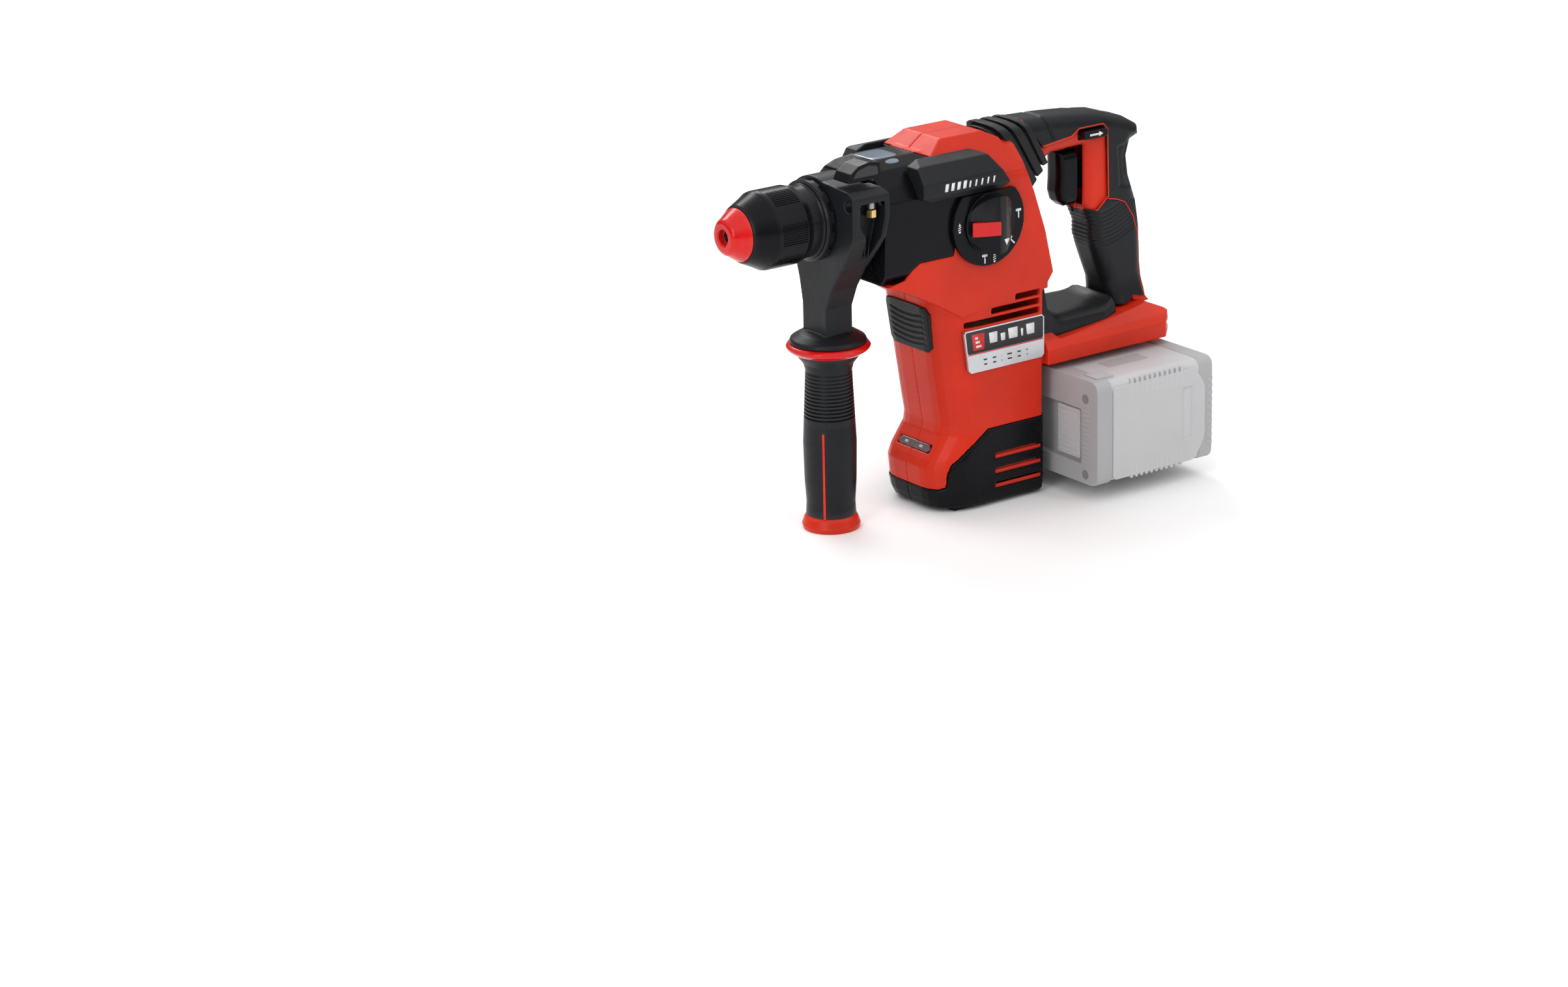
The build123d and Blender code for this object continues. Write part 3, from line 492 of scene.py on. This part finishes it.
def dense_copy(node, voxel, passes):
    """The CAD node's mesh, softened, in millimetres."""
    copy = bpy.data.objects.new(node + "_copy", nodes[node].data.copy())
    bpy.context.scene.collection.objects.link(copy)
    soften(copy, voxel, passes)
    deps = bpy.context.evaluated_depsgraph_get()
    mesh = bpy.data.meshes.new_from_object(copy.evaluated_get(deps))
    bpy.data.objects.remove(copy)
    mesh.transform(Matrix.Scale(1 / mm, 4))
    mesh.materials.clear()
    return mesh


def get_points(mesh):
    co = np.empty(len(mesh.vertices) * 3)
    mesh.vertices.foreach_get("co", co)
    return co.reshape(-1, 3)


def get_normals(mesh):
    normals = np.empty(len(mesh.vertices) * 3)
    mesh.vertex_normals.foreach_get("vector", normals)
    return normals.reshape(-1, 3)


def set_points(mesh, co):
    mesh.vertices.foreach_set("co", co.ravel())
    mesh.update()


def carve(node, name, voxel, passes, look, body, shape):
    """A finer version of a CAD node, whose points shape(co, normals) moves, that stands for it."""
    mesh = dense_copy(node, voxel, passes)
    set_points(mesh, shape(get_points(mesh), get_normals(mesh)))
    return add_piece(name, mesh, look, body, hides=(node,))


def path_distance(a, b, path, closed=False):
    """Distance of every (a, b) point from a polyline."""
    best = np.full(len(a), 1e9)
    ends = path[1:] + path[:1] if closed else path[1:]
    for (x0, y0), (x1, y1) in zip(path, ends):
        dx, dy = x1 - x0, y1 - y0
        t = np.clip(((a - x0) * dx + (b - y0) * dy) / max(dx * dx + dy * dy, 1e-9), 0, 1)
        best = np.minimum(best, np.hypot(a - x0 - t * dx, b - y0 - t * dy))
    return best


def inside_outline(x, z, outline):
    """1 for points within a closed outline, 0 outside."""
    odd = np.zeros(len(x), bool)
    for (x0, z0), (x1, z1) in zip(outline, outline[1:] + outline[:1]):
        crosses = (z0 > z) != (z1 > z)
        at = x0 + (z - z0) * (x1 - x0) / (z1 - z0 if z1 != z0 else 1e-9)
        odd ^= crosses & (x < at)
    return odd.astype(float)


def ramp(value, length=1.0):
    """0 below 0, 1 from length on."""
    return np.clip(value / length, 0, 1)


def pillow(co, outline, half, radius):
    """Rounds a slab between y = -half and half towards its outline in the XZ plane."""
    inside = np.clip(path_distance(co[:, 0], co[:, 2], outline, True), 0, radius)
    limit = half - radius + np.sqrt(np.maximum(radius ** 2 - (radius - inside) ** 2, 0))
    co[:, 1] *= limit / half
    return co


def groove(distance, width):
    """1 in the middle of a groove, 0 from its edge on."""
    return np.clip(1 - (distance / width) ** 2, 0, 1) ** 1.5


def waves(distance, pitch):
    """0 where distance is a multiple of pitch, 1 halfway between."""
    return 0.5 - 0.5 * np.cos(2 * math.pi * distance / pitch)


# ---- rear handle --------------------------------------------------------------------------------
# (x, z) outlines: the soft grip's own one, and the whole handle's, which runs on into bellows and foot.
handle_outer = [(268, 42), (293, 40), (315, 37), (337, 30), (349, 23), (350, 15), (342, 12), (339, 2),
                (341, -12), (348, -32), (351, -50), (352, -82), (355, -97)]
handle_inner = [(320, -98), (318, -88), (314, -78), (309, -65), (305, -54), (305, -44), (299, -31),
                (297, -28), (297, 14), (270, 13)]
grip_outline = [(242, 43)] + handle_outer + [(356, -104.5), (322, -104.5)] + handle_inner + [(261, 8)]
handle_outline = [(222, 44)] + handle_outer + [(356, -130), (320, -130)] + handle_inner + [(236, -5)]
handle_half, handle_round = 16.0, 10.0
trigger_outline = [(273, 12.4), (272, -17), (275.5, -24), (282, -28), (296, -28), (306, -20), (306, 12.4)]
trigger_half, trigger_round = 11.0, 7.0

# lines on the grip's sides: the edge of its back, the rim of its top arm and the edge of the switch's window
backstrap = [(318, -25.7), (326, -27.5), (333.3, -30.7), (341.2, -42.6), (346, -55.6), (348.2, -63.3),
             (349, -78.3), (349.5, -88), (349, -97.5), (351, -103.5)]
arm_rim = [(242.8 + (43 - z) * 0.543, z) for z in (42.4, 41, 38, 33, 27, 20, 13)]
window_edge = [(258, 22), (284, 25), (291, 29.5), (313, 29.5), (317, 25), (318, -24), (308, -32.5),
               (299, -31.5)]
thumb_panel = [(326, 11.4), (337, 13), (334.5, 2), (335.5, -10), (341, -22.3), (328, -19.2)]
strap_slot = [(258, 48), (268, 26)]
top_seam = [(276, 40.8), (300, 38.6), (330, 32)]


def flare(z):
    """The grip widens towards its foot."""
    flare_top, flare_height, flare_share = -84, 20.5, 0.28
    return 1 + flare_share * ramp(flare_top - z, flare_height) ** 2


def handle_surface(x, z):
    """Half width of the rounded handle at one point of its side."""
    inside = min(float(path_distance(np.array([x]), np.array([z]), handle_outline, True)[0]), handle_round)
    width = handle_half - handle_round + math.sqrt(handle_round ** 2 - (handle_round - inside) ** 2)
    return width * float(flare(np.array([z]))[0])


def shape_handle_shell(co, normals):
    z = co[:, 2].copy()
    co = pillow(co, handle_outline, handle_half, handle_round)
    co[:, 1] *= flare(z)
    return co


def shape_grip(co, normals):
    """Rounds the grip and cuts its arched ribs, its grooves and the hollow for the thumb."""
    x, z = co[:, 0].copy(), co[:, 2].copy()
    outer = (np.abs(co[:, 1]) > 14.6) | (path_distance(x, z, grip_outline, True) < 1.0)
    co = shape_handle_shell(co, normals)

    rib_x, rib_z, rib_start, rib_end, rib_pitch, rib_edge = 309, 4, 37, 64, 3.0, 1.5
    radius = np.hypot(x - rib_x, z - rib_z)
    from_backstrap = path_distance(x, z, backstrap)
    ribs = waves(radius - rib_start - 1, rib_pitch) ** 0.7
    ribs *= ramp(radius - rib_start, rib_edge) * ramp(rib_end - radius, rib_edge) * ramp(from_backstrap - 1.6)
    ribs *= (z < -29) & (x < 346)
    hollow = ramp(path_distance(x, z, thumb_panel, True), 1.2) * inside_outline(x, z, thumb_panel)
    depths = (
        0.8 * ribs,
        0.8 * groove(from_backstrap, 1.0),
        1.6 * groove(path_distance(x, z, strap_slot), 1.7) * (z > 24),
        0.5 * groove(path_distance(x, z, top_seam), 0.6) * (z < 40),
        hollow,
    )
    return co - normals * (np.maximum.reduce(depths) * outer)[:, None]


def shape_trigger(co, normals):
    """Rounds the trigger, hollows its front for the finger and makes it narrower and shorter."""
    hollow_z, hollow_spread, hollow_depth, back_x = -6, 13, 1.6, 296
    co = pillow(co, trigger_outline, trigger_half, trigger_round)
    co[:, 0] += hollow_depth * np.exp(-((co[:, 2] - hollow_z) / hollow_spread) ** 2) * ramp(280 - co[:, 0], 8)
    co[:, 0] = np.where(co[:, 0] < back_x, back_x - (back_x - co[:, 0]) * 0.72, co[:, 0])
    co[:, 1] *= 0.8
    return co


def make_rear_handle():
    carve("handle_grip", "grip_skin", 0.75, 3, "black_rubber", "rear_handle", shape_grip)
    for _, name in sides:
        carve(f"handle_{name}", f"handle_shell_{name}", 0.9, 3, "red_plastic", "rear_handle",
              shape_handle_shell)
    carve("trigger", "trigger_skin", 0.7, 8, "black_plastic", "trigger", shape_trigger)

    piping = (("grip", backstrap, 0.42, -0.25), ("arm", arm_rim, 0.5, 0.05),
              ("window", window_edge, 0.55, -0.1))  # path, radius, how far it stands out
    for side, name in sides:
        for part, path, radius, lift in piping:
            line = [(x, side * (handle_surface(x, z) + lift), z) for x, z in path]
            tube(f"{part}_piping_{name}", line, radius, "red_plastic", "rear_handle")


def make_direction_switch():
    """An oval slider through the handle with an arrow on each end."""
    low, high = box_mm("direction_switch")
    oval = rectangle(low.x, high.x, low.z, high.z, 3.0, 6)
    prisms("direction_slider", [(oval, (0, high.y, 0), *to_left, high.y - low.y)], "black_plastic",
           "black_plastic", "direction_switch", 0.9, 3, hides=("direction_switch",))
    middle = (low + high) / 2
    arrow = [(-6, -0.7), (2.2, -0.7), (2.2, -1.9), (6, 0), (2.2, 1.9), (2.2, 0.7), (-6, 0.7)]
    arrow = [(middle.x + a, middle.z + b) for a, b in arrow]
    prisms("direction_arrows", [on_side(-1, arrow, low.y, 0.12, 0.3), on_side(1, arrow, high.y, 0.12, 0.3)],
           "white_print", "black_plastic", "direction_switch", 0.0)


def make_bellows():
    """Three wide rubber folds on a lower core, fanned out between the housing and the handle's top arm."""
    arch, arch_top = [(20.5, 34), (20.2, 37.4), (18.6, 40), (14, 42.2), (6, 43.3)], 43.4
    bm = bmesh.new()

    def fold(x_front, width, lean, bottom_front, bottom_rear, inset=0.0):
        """An arch whose two faces go back by lean for each millimetre downwards."""
        rings = []
        for x, bottom in ((x_front, bottom_front), (x_front + width, bottom_rear)):
            section = [(arch[0][0] - inset, bottom)] + [(y - inset, z - inset) for y, z in arch]
            section += [(-y, z) for y, z in reversed(section)]
            rings.append([bm.verts.new((x + (arch_top - z) * lean, y, z)) for y, z in section])
        loft(bm, rings)

    fold(210.0, 32.0, 0.55, 8.0, 14.0, inset=2.4)
    fold(214.5, 8.2, 0.635, -4.6, 0.6)
    fold(225.9, 7.8, 0.585, 2.2, 6.0)
    fold(236.8, 5.6, 0.535, 9.2, 11.0)
    piece = add_piece("bellows_folds", mesh_from(bm, "bellows_folds"), "black_rubber", None,
                      1.2, 3, hides=("bellows",))
    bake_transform(piece)


def make_lining():
    """Soft lining of the hand opening: up the housing's rear wall, along the foot, up to the grip."""
    bottom = -112.5
    side_view = rounded([(243.7, bottom), (243.7, -70), (247, -69.6), (250, -88), (261, -98), (306, -98.6),
                         (312, -97.6), (317.4, -94.6), (317.8, bottom)], 6.0, 6)
    top_line = [point for point in side_view if point[1] > bottom + 0.1][1:-1]
    half_section = [(31.5, -16), (31.5, -8.5), (30.2, -4.4), (26.5, -1.5), (20, -0.3), (7, 0)]
    bm = bmesh.new()
    rings = []
    for x, z_top in top_line:
        narrower = 1.0 - 0.2 * max(0.0, (x - 296) / 21) ** 1.5
        ring = [(y * narrower, max(z_top + drop, bottom)) for y, drop in half_section]
        ring[0] = (ring[0][0], bottom)
        ring += [(-y, z) for y, z in reversed(ring)]
        rings.append([bm.verts.new((x, y, z)) for y, z in ring])
    loft(bm, rings)
    add_piece("opening_skin", mesh_from(bm, "opening_skin"), "black_rubber", "housing",
              0.6, 3, hides=("opening_lining",))


def make_foot_cheeks():
    """A small red wedge on each side where the grip meets the foot."""
    outline = rounded([(341, -104.3), (341.5, -98), (346, -95.8), (355.6, -106.8), (352, -107.2)], 1.0)
    middle_y, width = 14.8, 3.2
    for side, name in sides:
        prisms(f"foot_cheek_{name}", [(outline, (0, side * middle_y + width / 2, 0), *to_left, width)],
               "red_plastic", "red_plastic", "rear_handle", 0.9, 3)


# ---- main housing -------------------------------------------------------------------------------
def shape_pad(co, normals):
    """Six grooves across the front bumper pad, which sag towards its sides."""
    start, end, pitch, depth, half_width = -103, -77.5, 4.2, 0.9, 19.0
    y = np.abs(co[:, 1])
    level = co[:, 2] - 3.6 * (y / 24) ** 2
    field = ramp(half_width - y, 2) * ramp(end - level) * ramp(level - start) * (normals[:, 0] < 0)
    return co - normals * (waves(level - start + 1, pitch) ** 2 * field * depth)[:, None]


def make_shells():
    rounding = {  # voxel size in millimetres and passes of smoothing
        "housing_left": (0.6, 6), "housing_right": (0.6, 6), "gear_housing": (0.7, 8),
        "base_skirt_left": (0.7, 5), "base_skirt_right": (0.7, 5),
        "bumper_left": (0.6, 4), "bumper_right": (0.6, 4), "handle_bracket": (0.7, 5),
        "depth_stop_button": (0.6, 6), "dial_plate": (0.5, 3),
        "battery_rail_plate": (1.2, 3), "hand_guard": (0.6, 4),
    }
    for node, (voxel, passes) in rounding.items():
        soften(nodes[node], voxel, passes)
    carve("front_pad", "front_pad_skin", 0.5, 3, "black_rubber", "housing", shape_pad)


def make_rating_plate():
    """A dark and a silver field on the metal plate, with a square and plain bars instead of words."""
    low, high = box_mm("rating_plate")
    width, height = high.x - low.x, high.z - low.z
    split, slant = height * 0.42, 4.0

    def field(x0, x1, z0, z1, radius, rise, sink=0.2):
        """A raised area whose front end slants with the plate's."""
        front_low, front_high = (x0 + slant * (1 - z / height) for z in (z0, z1))
        outline = rounded([(front_low, z0), (x1, z0), (x1, z1), (front_high, z1)], radius)
        return outline, low, *to_left, rise, sink

    def printed(part, fields, look):
        prisms(f"plate_{part}", fields, look, "plate_print", "housing", 0.0)

    printed("dark_field", [field(1.0, width - 1.0, split + 0.9, height - 1.0, 1.6, 0.15, 0.4)], "dark_print")
    printed("red_line", [field(0.8, width - 0.8, split, split + 0.7, 0.2, 0.17, 0.4)], "red_print")
    printed("red_square", [field(6.0, 17.5, split + 3.0, height - 3.2, 0.8, 0.25)], "red_print")
    square_bars = [(8.6, 15.0 - 1.6 * k, split + 4.8 + 3.1 * k, split + 6.4 + 3.1 * k) for k in range(3)]
    tall, low_top = height - 4.4, height - 6.6
    word_bars = [(x0, x1, split + 6.0, bar_top) for x0, x1, bar_top in (
        (21, 29, tall), (31, 36, low_top), (38, 47, tall), (49, 52, low_top), (54, 62, tall))]
    printed("pale_marks", [field(*bar, 0.2, 0.32) for bar in square_bars]
            + [field(*bar, 0.5, 0.25) for bar in word_bars], "white_print")
    words = ((14, 20), (22, 28), (30, 33), (35, 42), (44, 50), (52, 56))
    printed("dark_marks", [field(x0, x1, z, z + 1, 0.2, 0.15) for x0, x1 in words for z in (4.2, 7.6)],
            "dark_print")


def make_bumper_marks():
    """A generic row of slanted bars, four wide and five narrow, where the maker prints a word."""
    first_x, bottom, pitch = 147, 14.6, 5.2
    bars = []
    for k in range(9):
        x = first_x + pitch * k
        width, slant, height = (2.6, 3.6, 5.27) if k < 4 else (1.3, 2.2, 4.42)
        top = bottom + height
        bars.append([(x, bottom), (x + width, bottom), (x + slant, top), (x + 0.9, top)])
    for side, name in sides:
        low, high = box_mm(f"bumper_{name}")
        y = low.y if side < 0 else high.y
        prisms(f"bumper_mark_{name}", [on_side(side, bar, y, 0.15, 0.4) for bar in bars], "white_print",
               "black_plastic", "housing", 0.0)


def make_lamp():
    """A smoked window over two light-emitting diodes."""
    low, high = box_mm("lamp_lens")
    centre = (low + high) / 2
    normal, along = Vector((-0.848, 0, 0.530)), Vector((0, -1, 0))
    axes = (along, normal.cross(along))
    half_length, half_straight, half_height = 18, 15.5, 2.9
    hexagon = [(-half_length, 0), (-half_straight, -half_height), (half_straight, -half_height),
               (half_length, 0), (half_straight, half_height), (-half_straight, half_height)]
    prisms("lamp_window", [(rounded(hexagon, 1.2), centre + normal * 0.2, *axes, 1.6, 1.2)], "lens", "lens",
           "housing", 0.4, hides=("lamp_lens",))
    chips = [(rectangle(a - 1.9, a + 1.9, -1.0, 1.0, 0.9), centre + normal * 1.7, *axes, 0.15, 0.3)
             for a in (-8.5, 7.5)]
    prisms("lamp_chips", chips, "pack_latch", "lens", "housing", 0.0)


def make_ledges():
    """The red shell seen through the three slots of each base skirt."""
    middle_y, width = 36.6, 1.6
    outlines = [rectangle(197, 238, z - 3.4, z + 0.4, 0.6) for z in (-186.0, -197.0, -207.5)]
    for side, name in sides:
        ledges = [(outline, (0, side * middle_y + width / 2, 0), *to_left, width) for outline in outlines]
        prisms(f"skirt_ledges_{name}", ledges, "red_plastic", "red_plastic", "housing", 0.4)


def make_foot_corners():
    """Closes the two rear corners of the foot's shell."""
    layers = (  # (x, y) outline, bottom and top
        ([(338, 40.8), (349.6, 41.7), (361.6, 29.7), (361.4, 24), (338, 24)], -127.8, -118.0),
        ([(338, 36.5), (350.2, 39.2), (360.2, 29.2), (360.2, 24), (338, 24)], -118.5, -114.4),
    )
    for side, name in sides:
        shapes = [([(x, side * y) for x, y in outline], (0, 0, bottom), *to_top, top - bottom)
                  for outline, bottom, top in layers]
        prisms(f"foot_corner_{name}", shapes, "red_plastic", "red_plastic", "housing", 0.5)


def make_inlay():
    """Glossy arched inlay let into the roof of the gear case."""
    front = box_mm("gear_housing")[0].x
    roof = [(-20, 33.0), (-13, 35.9), (-6, 36.1), (6, 36.1), (13, 35.9), (20, 33.0)]
    half_width, lift = 24, 0.35
    stations = ((41, 5.0), (44, 1.5), (56, 0.0), (62, 1.5), (64, 5.0))  # distance from the front, inset
    bm = bmesh.new()
    loft(bm, [[bm.verts.new((front + x, y * (1 - inset / half_width), z + lift)) for y, z in roof]
              for x, inset in stations], closed=False)
    piece = add_piece("roof_inlay", mesh_from(bm, "roof_inlay"), "blue_inlay", "housing")
    solid = piece.modifiers.new("thickness", "SOLIDIFY")
    solid.thickness = 0.8 * mm
    smooth = piece.modifiers.new("smooth", "SUBSURF")
    smooth.levels = smooth.render_levels = 2


# ---- mode dial ----------------------------------------------------------------------------------
def make_dial():
    """A roof-shaped knob on a round base, its red lock button, a pointer and the symbols of the modes."""
    low, high = box_mm("mode_dial")
    x, z = (low.x + high.x) / 2, (low.z + high.z) / 2
    base_y, grip_radius, grip_height = -43.9, 20.3, 14.0
    slot_z, slot_half, button_half = z - 2.0, 5.3, 5.0

    def roof(profile, z_low, z_high):
        """Prism along Z on points (distance from the middle, height over the base)."""
        return [(x + a, base_y - height) for a, height in profile], (0, 0, z_low), *to_top, z_high - z_low

    ridge = [(-17.8, 0.0), (-17.8, 1.6), (-8, 8.8), (-0.8, 12.8), (6, 11.2), (16.6, 3.2), (17.4, 0.0)]
    saddle = [(-17.9, 3.4), (-17.9, 4.6), (-8, 10.0), (-0.2, 13.2), (0.3, 12.4), (0.3, 3.4)]
    slot = rectangle(x - 24, x + 0.6, slot_z - slot_half, slot_z + slot_half)
    disc = (circle(x, z, grip_radius, 5), (0, base_y, 0), *to_left, grip_height)
    knob = prism_mesh("knob_roof", [roof(ridge, z - 22, z + 22)])
    knob = combined(knob, prism_mesh("knob_round", [disc]), "INTERSECT")
    knob = combined(knob, prism_mesh("knob_slot", [(slot, (0, base_y - 1.1, 0), *to_left, grip_height)]),
                    "DIFFERENCE")
    add_piece("dial_knob", knob, "black_plastic", "mode_dial", 0.8, 3, hides=("mode_dial",))
    prisms("dial_base", [(circle(x, z, (high.x - low.x) / 2, 5), (0, base_y, 0), *to_left, 1.3)],
           "black_plastic", "black_plastic", "mode_dial", 0.5, 2)
    prisms("dial_lock", [roof(saddle, slot_z - button_half, slot_z + button_half)], "red_rubber",
           "red_rubber", "dial_lock", 0.45, 3, hides=("dial_lock_button",))

    pointer = [(x + 3.4, z - 10.5), (x + 8.0, z - 10.5), (x + 5.7, z - 14.8)]
    prisms("dial_pointer", [(pointer, (0, base_y - 11.4, 0), *to_left, 0.35, 1.2)], "white_print",
           "black_plastic", "mode_dial", 0.0)

    drill = [[(-0.9, 1.2), (0.9, 1.2), (0, 3.4)], [(-1.2, -0.4), (1.2, 0.2), (1.2, 0.8), (-1.2, 0.2)],
             [(-1.2, -1.9), (1.2, -1.3), (1.2, -0.7), (-1.2, -1.3)],
             [(-0.8, -3.6), (0.8, -3.6), (0.8, -2.2), (-0.8, -2.6)]]
    hammer = [[(-2.4, 1.4), (2.0, 1.4), (2.4, 2.6), (1.8, 3.2), (-2.4, 3.2)],
              [(-0.5, -3.4), (0.5, -3.4), (0.5, 1.4), (-0.5, 1.4)]]
    beside_hammer = [[(a + 2.6, b) for a, b in outline] for outline in drill]
    leaning_hammer = [[(a * 0.7 - b * 0.7, a * 0.7 + b * 0.7) for a, b in outline] for outline in hammer]
    face_y, symbol_radius = box_mm("dial_plate")[0].y, 25.8
    symbols = ((180, drill), (-86, beside_hammer), (4, hammer), (-99, hammer), (-40, leaning_hammer))
    shapes = []
    for angle, symbol in symbols:
        turn = math.radians(angle)
        symbol_x, symbol_z = x + symbol_radius * math.cos(turn), z + symbol_radius * math.sin(turn)
        shapes += [([(symbol_x + a, symbol_z + b) for a, b in outline], (0, face_y, 0), *to_left, 0.12, 0.3)
                   for outline in symbol]
    prisms("dial_symbols", shapes, "white_print", "black_plastic", "housing", 0.0)


# ---- side handle and bit holder -----------------------------------------------------------------
def make_side_handle():
    """The clamp's spring, the ribs in the bracket's pocket and the darker field of the paddle."""
    nodes["handle_bracket"].data.materials[0] = materials["black_rubber"]
    nut_low, nut_high = box_mm("depth_stop_nut")
    nut = (nut_low + nut_high) / 2
    turns, steps, radius, length, gap = 7, 12, 2.6, 4.2, 0.9
    coil = []
    for k in range(turns * steps + 1):
        angle = 2 * math.pi * k / steps
        coil.append((nut.x + radius * math.cos(angle), nut.y + radius * math.sin(angle),
                     nut_high.z + gap + length * k / (turns * steps)))
    tube("clamp_spring", coil, 0.32, "steel", "side_handle")

    ribs = []
    for x in (85.0, 88.4):
        rib = [(x - 0.6, -22), (x + 0.6, -22), (x + 2.2, -10), (x + 1.0, -10)]
        ribs.append((rib, (0, -35.2, 0), *to_left, 2.0, 1.0))
    prisms("pocket_ribs", ribs, "black_plastic", "black_plastic", "side_handle", 0.3)

    low, high = box_mm("depth_stop_button")
    field = rounded([(low.x + 4, low.z + 3), (high.x - 3, low.z + 3), (high.x - 4, high.z - 3.5),
                     ((low.x + high.x) / 2 + 3, high.z - 2.2), (low.x + 8, high.z - 4.5)], 1.5)
    prisms("paddle_field", [(field, (0, low.y, 0), *to_left, 0.35, 0.6)], "dark_print", "black_plastic",
           "depth_stop_button", 0.3)


def make_turned_parts():
    """Breaks the edges of the bit holder's rings and the side grip; the dust cap keeps its facets."""
    for node in ("locking_sleeve", "chuck_body", "release_ring", "grip_core", "grip_cover"):
        bevelled(node, 0.35)
    flat_faces("dust_cap")


# ---- battery packs ------------------------------------------------------------------------------
def make_battery(side, name):
    """A pale case between two darker caps, with ribbed faces, painted shade in its screw wells, a label and
    its rails.
    """
    body = f"battery_{name}"
    low, high = box_mm(body)
    front, rear, bottom, top = low.x, high.x, low.z, high.z
    rail_height, end_gap = 3.0, 0.7  # the front cap starts a little behind the CAD case's end
    inner, outer = (high.y - rail_height, low.y) if side < 0 else (low.y + rail_height, high.y)
    wide = abs(outer - inner)

    def across(reach):
        """Y at a distance from the inner face."""
        return inner + side * reach

    def add(part, shapes, look, bevel=0.3, segments=2, **more):
        prisms(f"pack_{name}_{part}", shapes, look, "pack_grey", body, bevel, segments, **more)

    def lengthwise(section, x_front, x_rear):
        return section, (x_rear, 0, 0), *to_rear, 0.0, x_rear - x_front

    def block(x_front, x_rear, reach, z_low, z_high, radius):
        return lengthwise(rectangle(inner, across(reach), z_low, z_high, radius, 5), x_front, x_rear)

    def outside(outline, rise, sink, back):
        """On the outer face, or back from it."""
        return on_side(side, outline, outer - side * back, rise, sink)

    def ahead(outline, rise, sink=1.0, back=end_gap):
        """On the front face, or back from it; the outline's points are (y, z)."""
        return [(-y, z) for y, z in outline], (front + back, 0, 0), *to_front, rise, sink

    hollow = rectangle(across(1.5), across(51), bottom + 14, top - 23, 2.5)
    add("middle", [block(front + 13, rear - 13, wide - 1.2, bottom + 1.0, top - 1.0, 8.0)], "pack_grey", 0.6,
        hides=(body,))
    add("front_cap", [block(front + end_gap, front + 14, wide - 0.2, bottom, top - 0.2, 9.0)], "pack_latch",
        3.4, 4, cuts=[ahead(hollow, 6.0, 5.0, 0.0)])
    add("rear_cap", [block(rear - 14, rear, wide - 0.6, bottom + 0.6, top - 0.4, 8.0)], "pack_latch", 2.4, 3)

    # outer face: raised panel with a long hollow near its rear, two rows of ribs, and ribs on the rear cap
    panel = rounded([(front + 15, bottom + 3), (rear - 17, bottom + 3), (rear - 8, bottom + 18),
                     (rear - 8, top - 20), (rear - 17, top - 6), (front + 15, top - 6)], 4.0)
    band = rectangle(rear - 29, rear - 20, bottom + 20, top - 19, 1.0)
    add("side_panel", [outside(panel, 0.0, 2.4, 0.1)], "pack_grey", 0.9, 3,
        cuts=[outside(band, 3.0, 1.5, 0.1)])
    rows = ((bottom + 1.4, bottom + 12), (top - 15, top - 2.4))
    add("side_ribs", [outside(rectangle(x, x + 2.2, *row, 1.0), 0.25, 2.4, 0.25)
                      for x in (front + 31 + 4.6 * k for k in range(11)) for row in rows], "pack_grey", 0.5)
    add("rear_ribs", [outside(rectangle(rear - 6.5, rear - 1.2, z, z + 3, 0.6), 0.0, 1.2, 0.2)
                      for z in (bottom + 12 + 5.2 * k for k in range(10))], "pack_latch", 0.4)

    # front face: pale ribbed panel in the hollow, a column of notches and two dark discs of painted shade for
    # the screw wells
    add("front_panel", [ahead(rectangle(across(22), across(46), bottom + 16, top - 25, 1.0), 0.0, 3.0, 3.4)],
        "pack_grey", 0.5)
    add("front_ribs", [ahead(rectangle(across(23), across(45), z, z + 1.8, 0.7), 0.5, 1.0, 3.4)
                       for z in (bottom + 18.2 + 3.6 * k for k in range(9))], "pack_grey", 0.4)
    add("front_ticks", [ahead(rectangle(across(53), across(59.5), z, z + 1.5, 0.3), 0.35)
                        for z in (bottom + 16 + 3.4 * k for k in range(12))], "pack_latch", 0.2)
    # dark discs on the front face: painted shade standing in for the hollows of the two screw wells
    add("screw_well_shade", [ahead(circle(across(55.5), z, 3.6, 20), 0.12, 0.8) for z in (bottom + 7.0, top - 14.5)],
        "well_shade_grey")

    middle_y = (inner + outer) / 2
    label = rectangle(front + 34, front + 70, middle_y - 8, middle_y + 6, 2)
    add("top_label", [(label, (0, 0, top - 1.0), *to_top, 0.4, 0.6)], "pack_latch", 0.2)
    add("rails", [lengthwise(rectangle(across(-0.2), across(-rail_height), z - 4.5, z + 4.5, 0.8),
                             front + 10, rear - 10) for z in (-142.4, -162, -180, -199.6)], "pack_latch", 0.4)


# ---- assembly -----------------------------------------------------------------------------------
def set_materials():
    slots = {row["node"]: row["material_slot"] for row in frame["record"]["subparts"]}
    for name, obj in nodes.items():
        obj.data.materials.clear()
        obj.data.materials.append(materials[slots[name]])


make_camera()
make_studio()
set_materials()
make_shells()
make_rear_handle()
make_direction_switch()
make_bellows()
make_lining()
make_foot_cheeks()
make_rating_plate()
make_bumper_marks()
make_lamp()
make_ledges()
make_foot_corners()
make_inlay()
make_dial()
make_side_handle()
make_turned_parts()
for pack_side, pack_name in sides:
    make_battery(pack_side, pack_name)
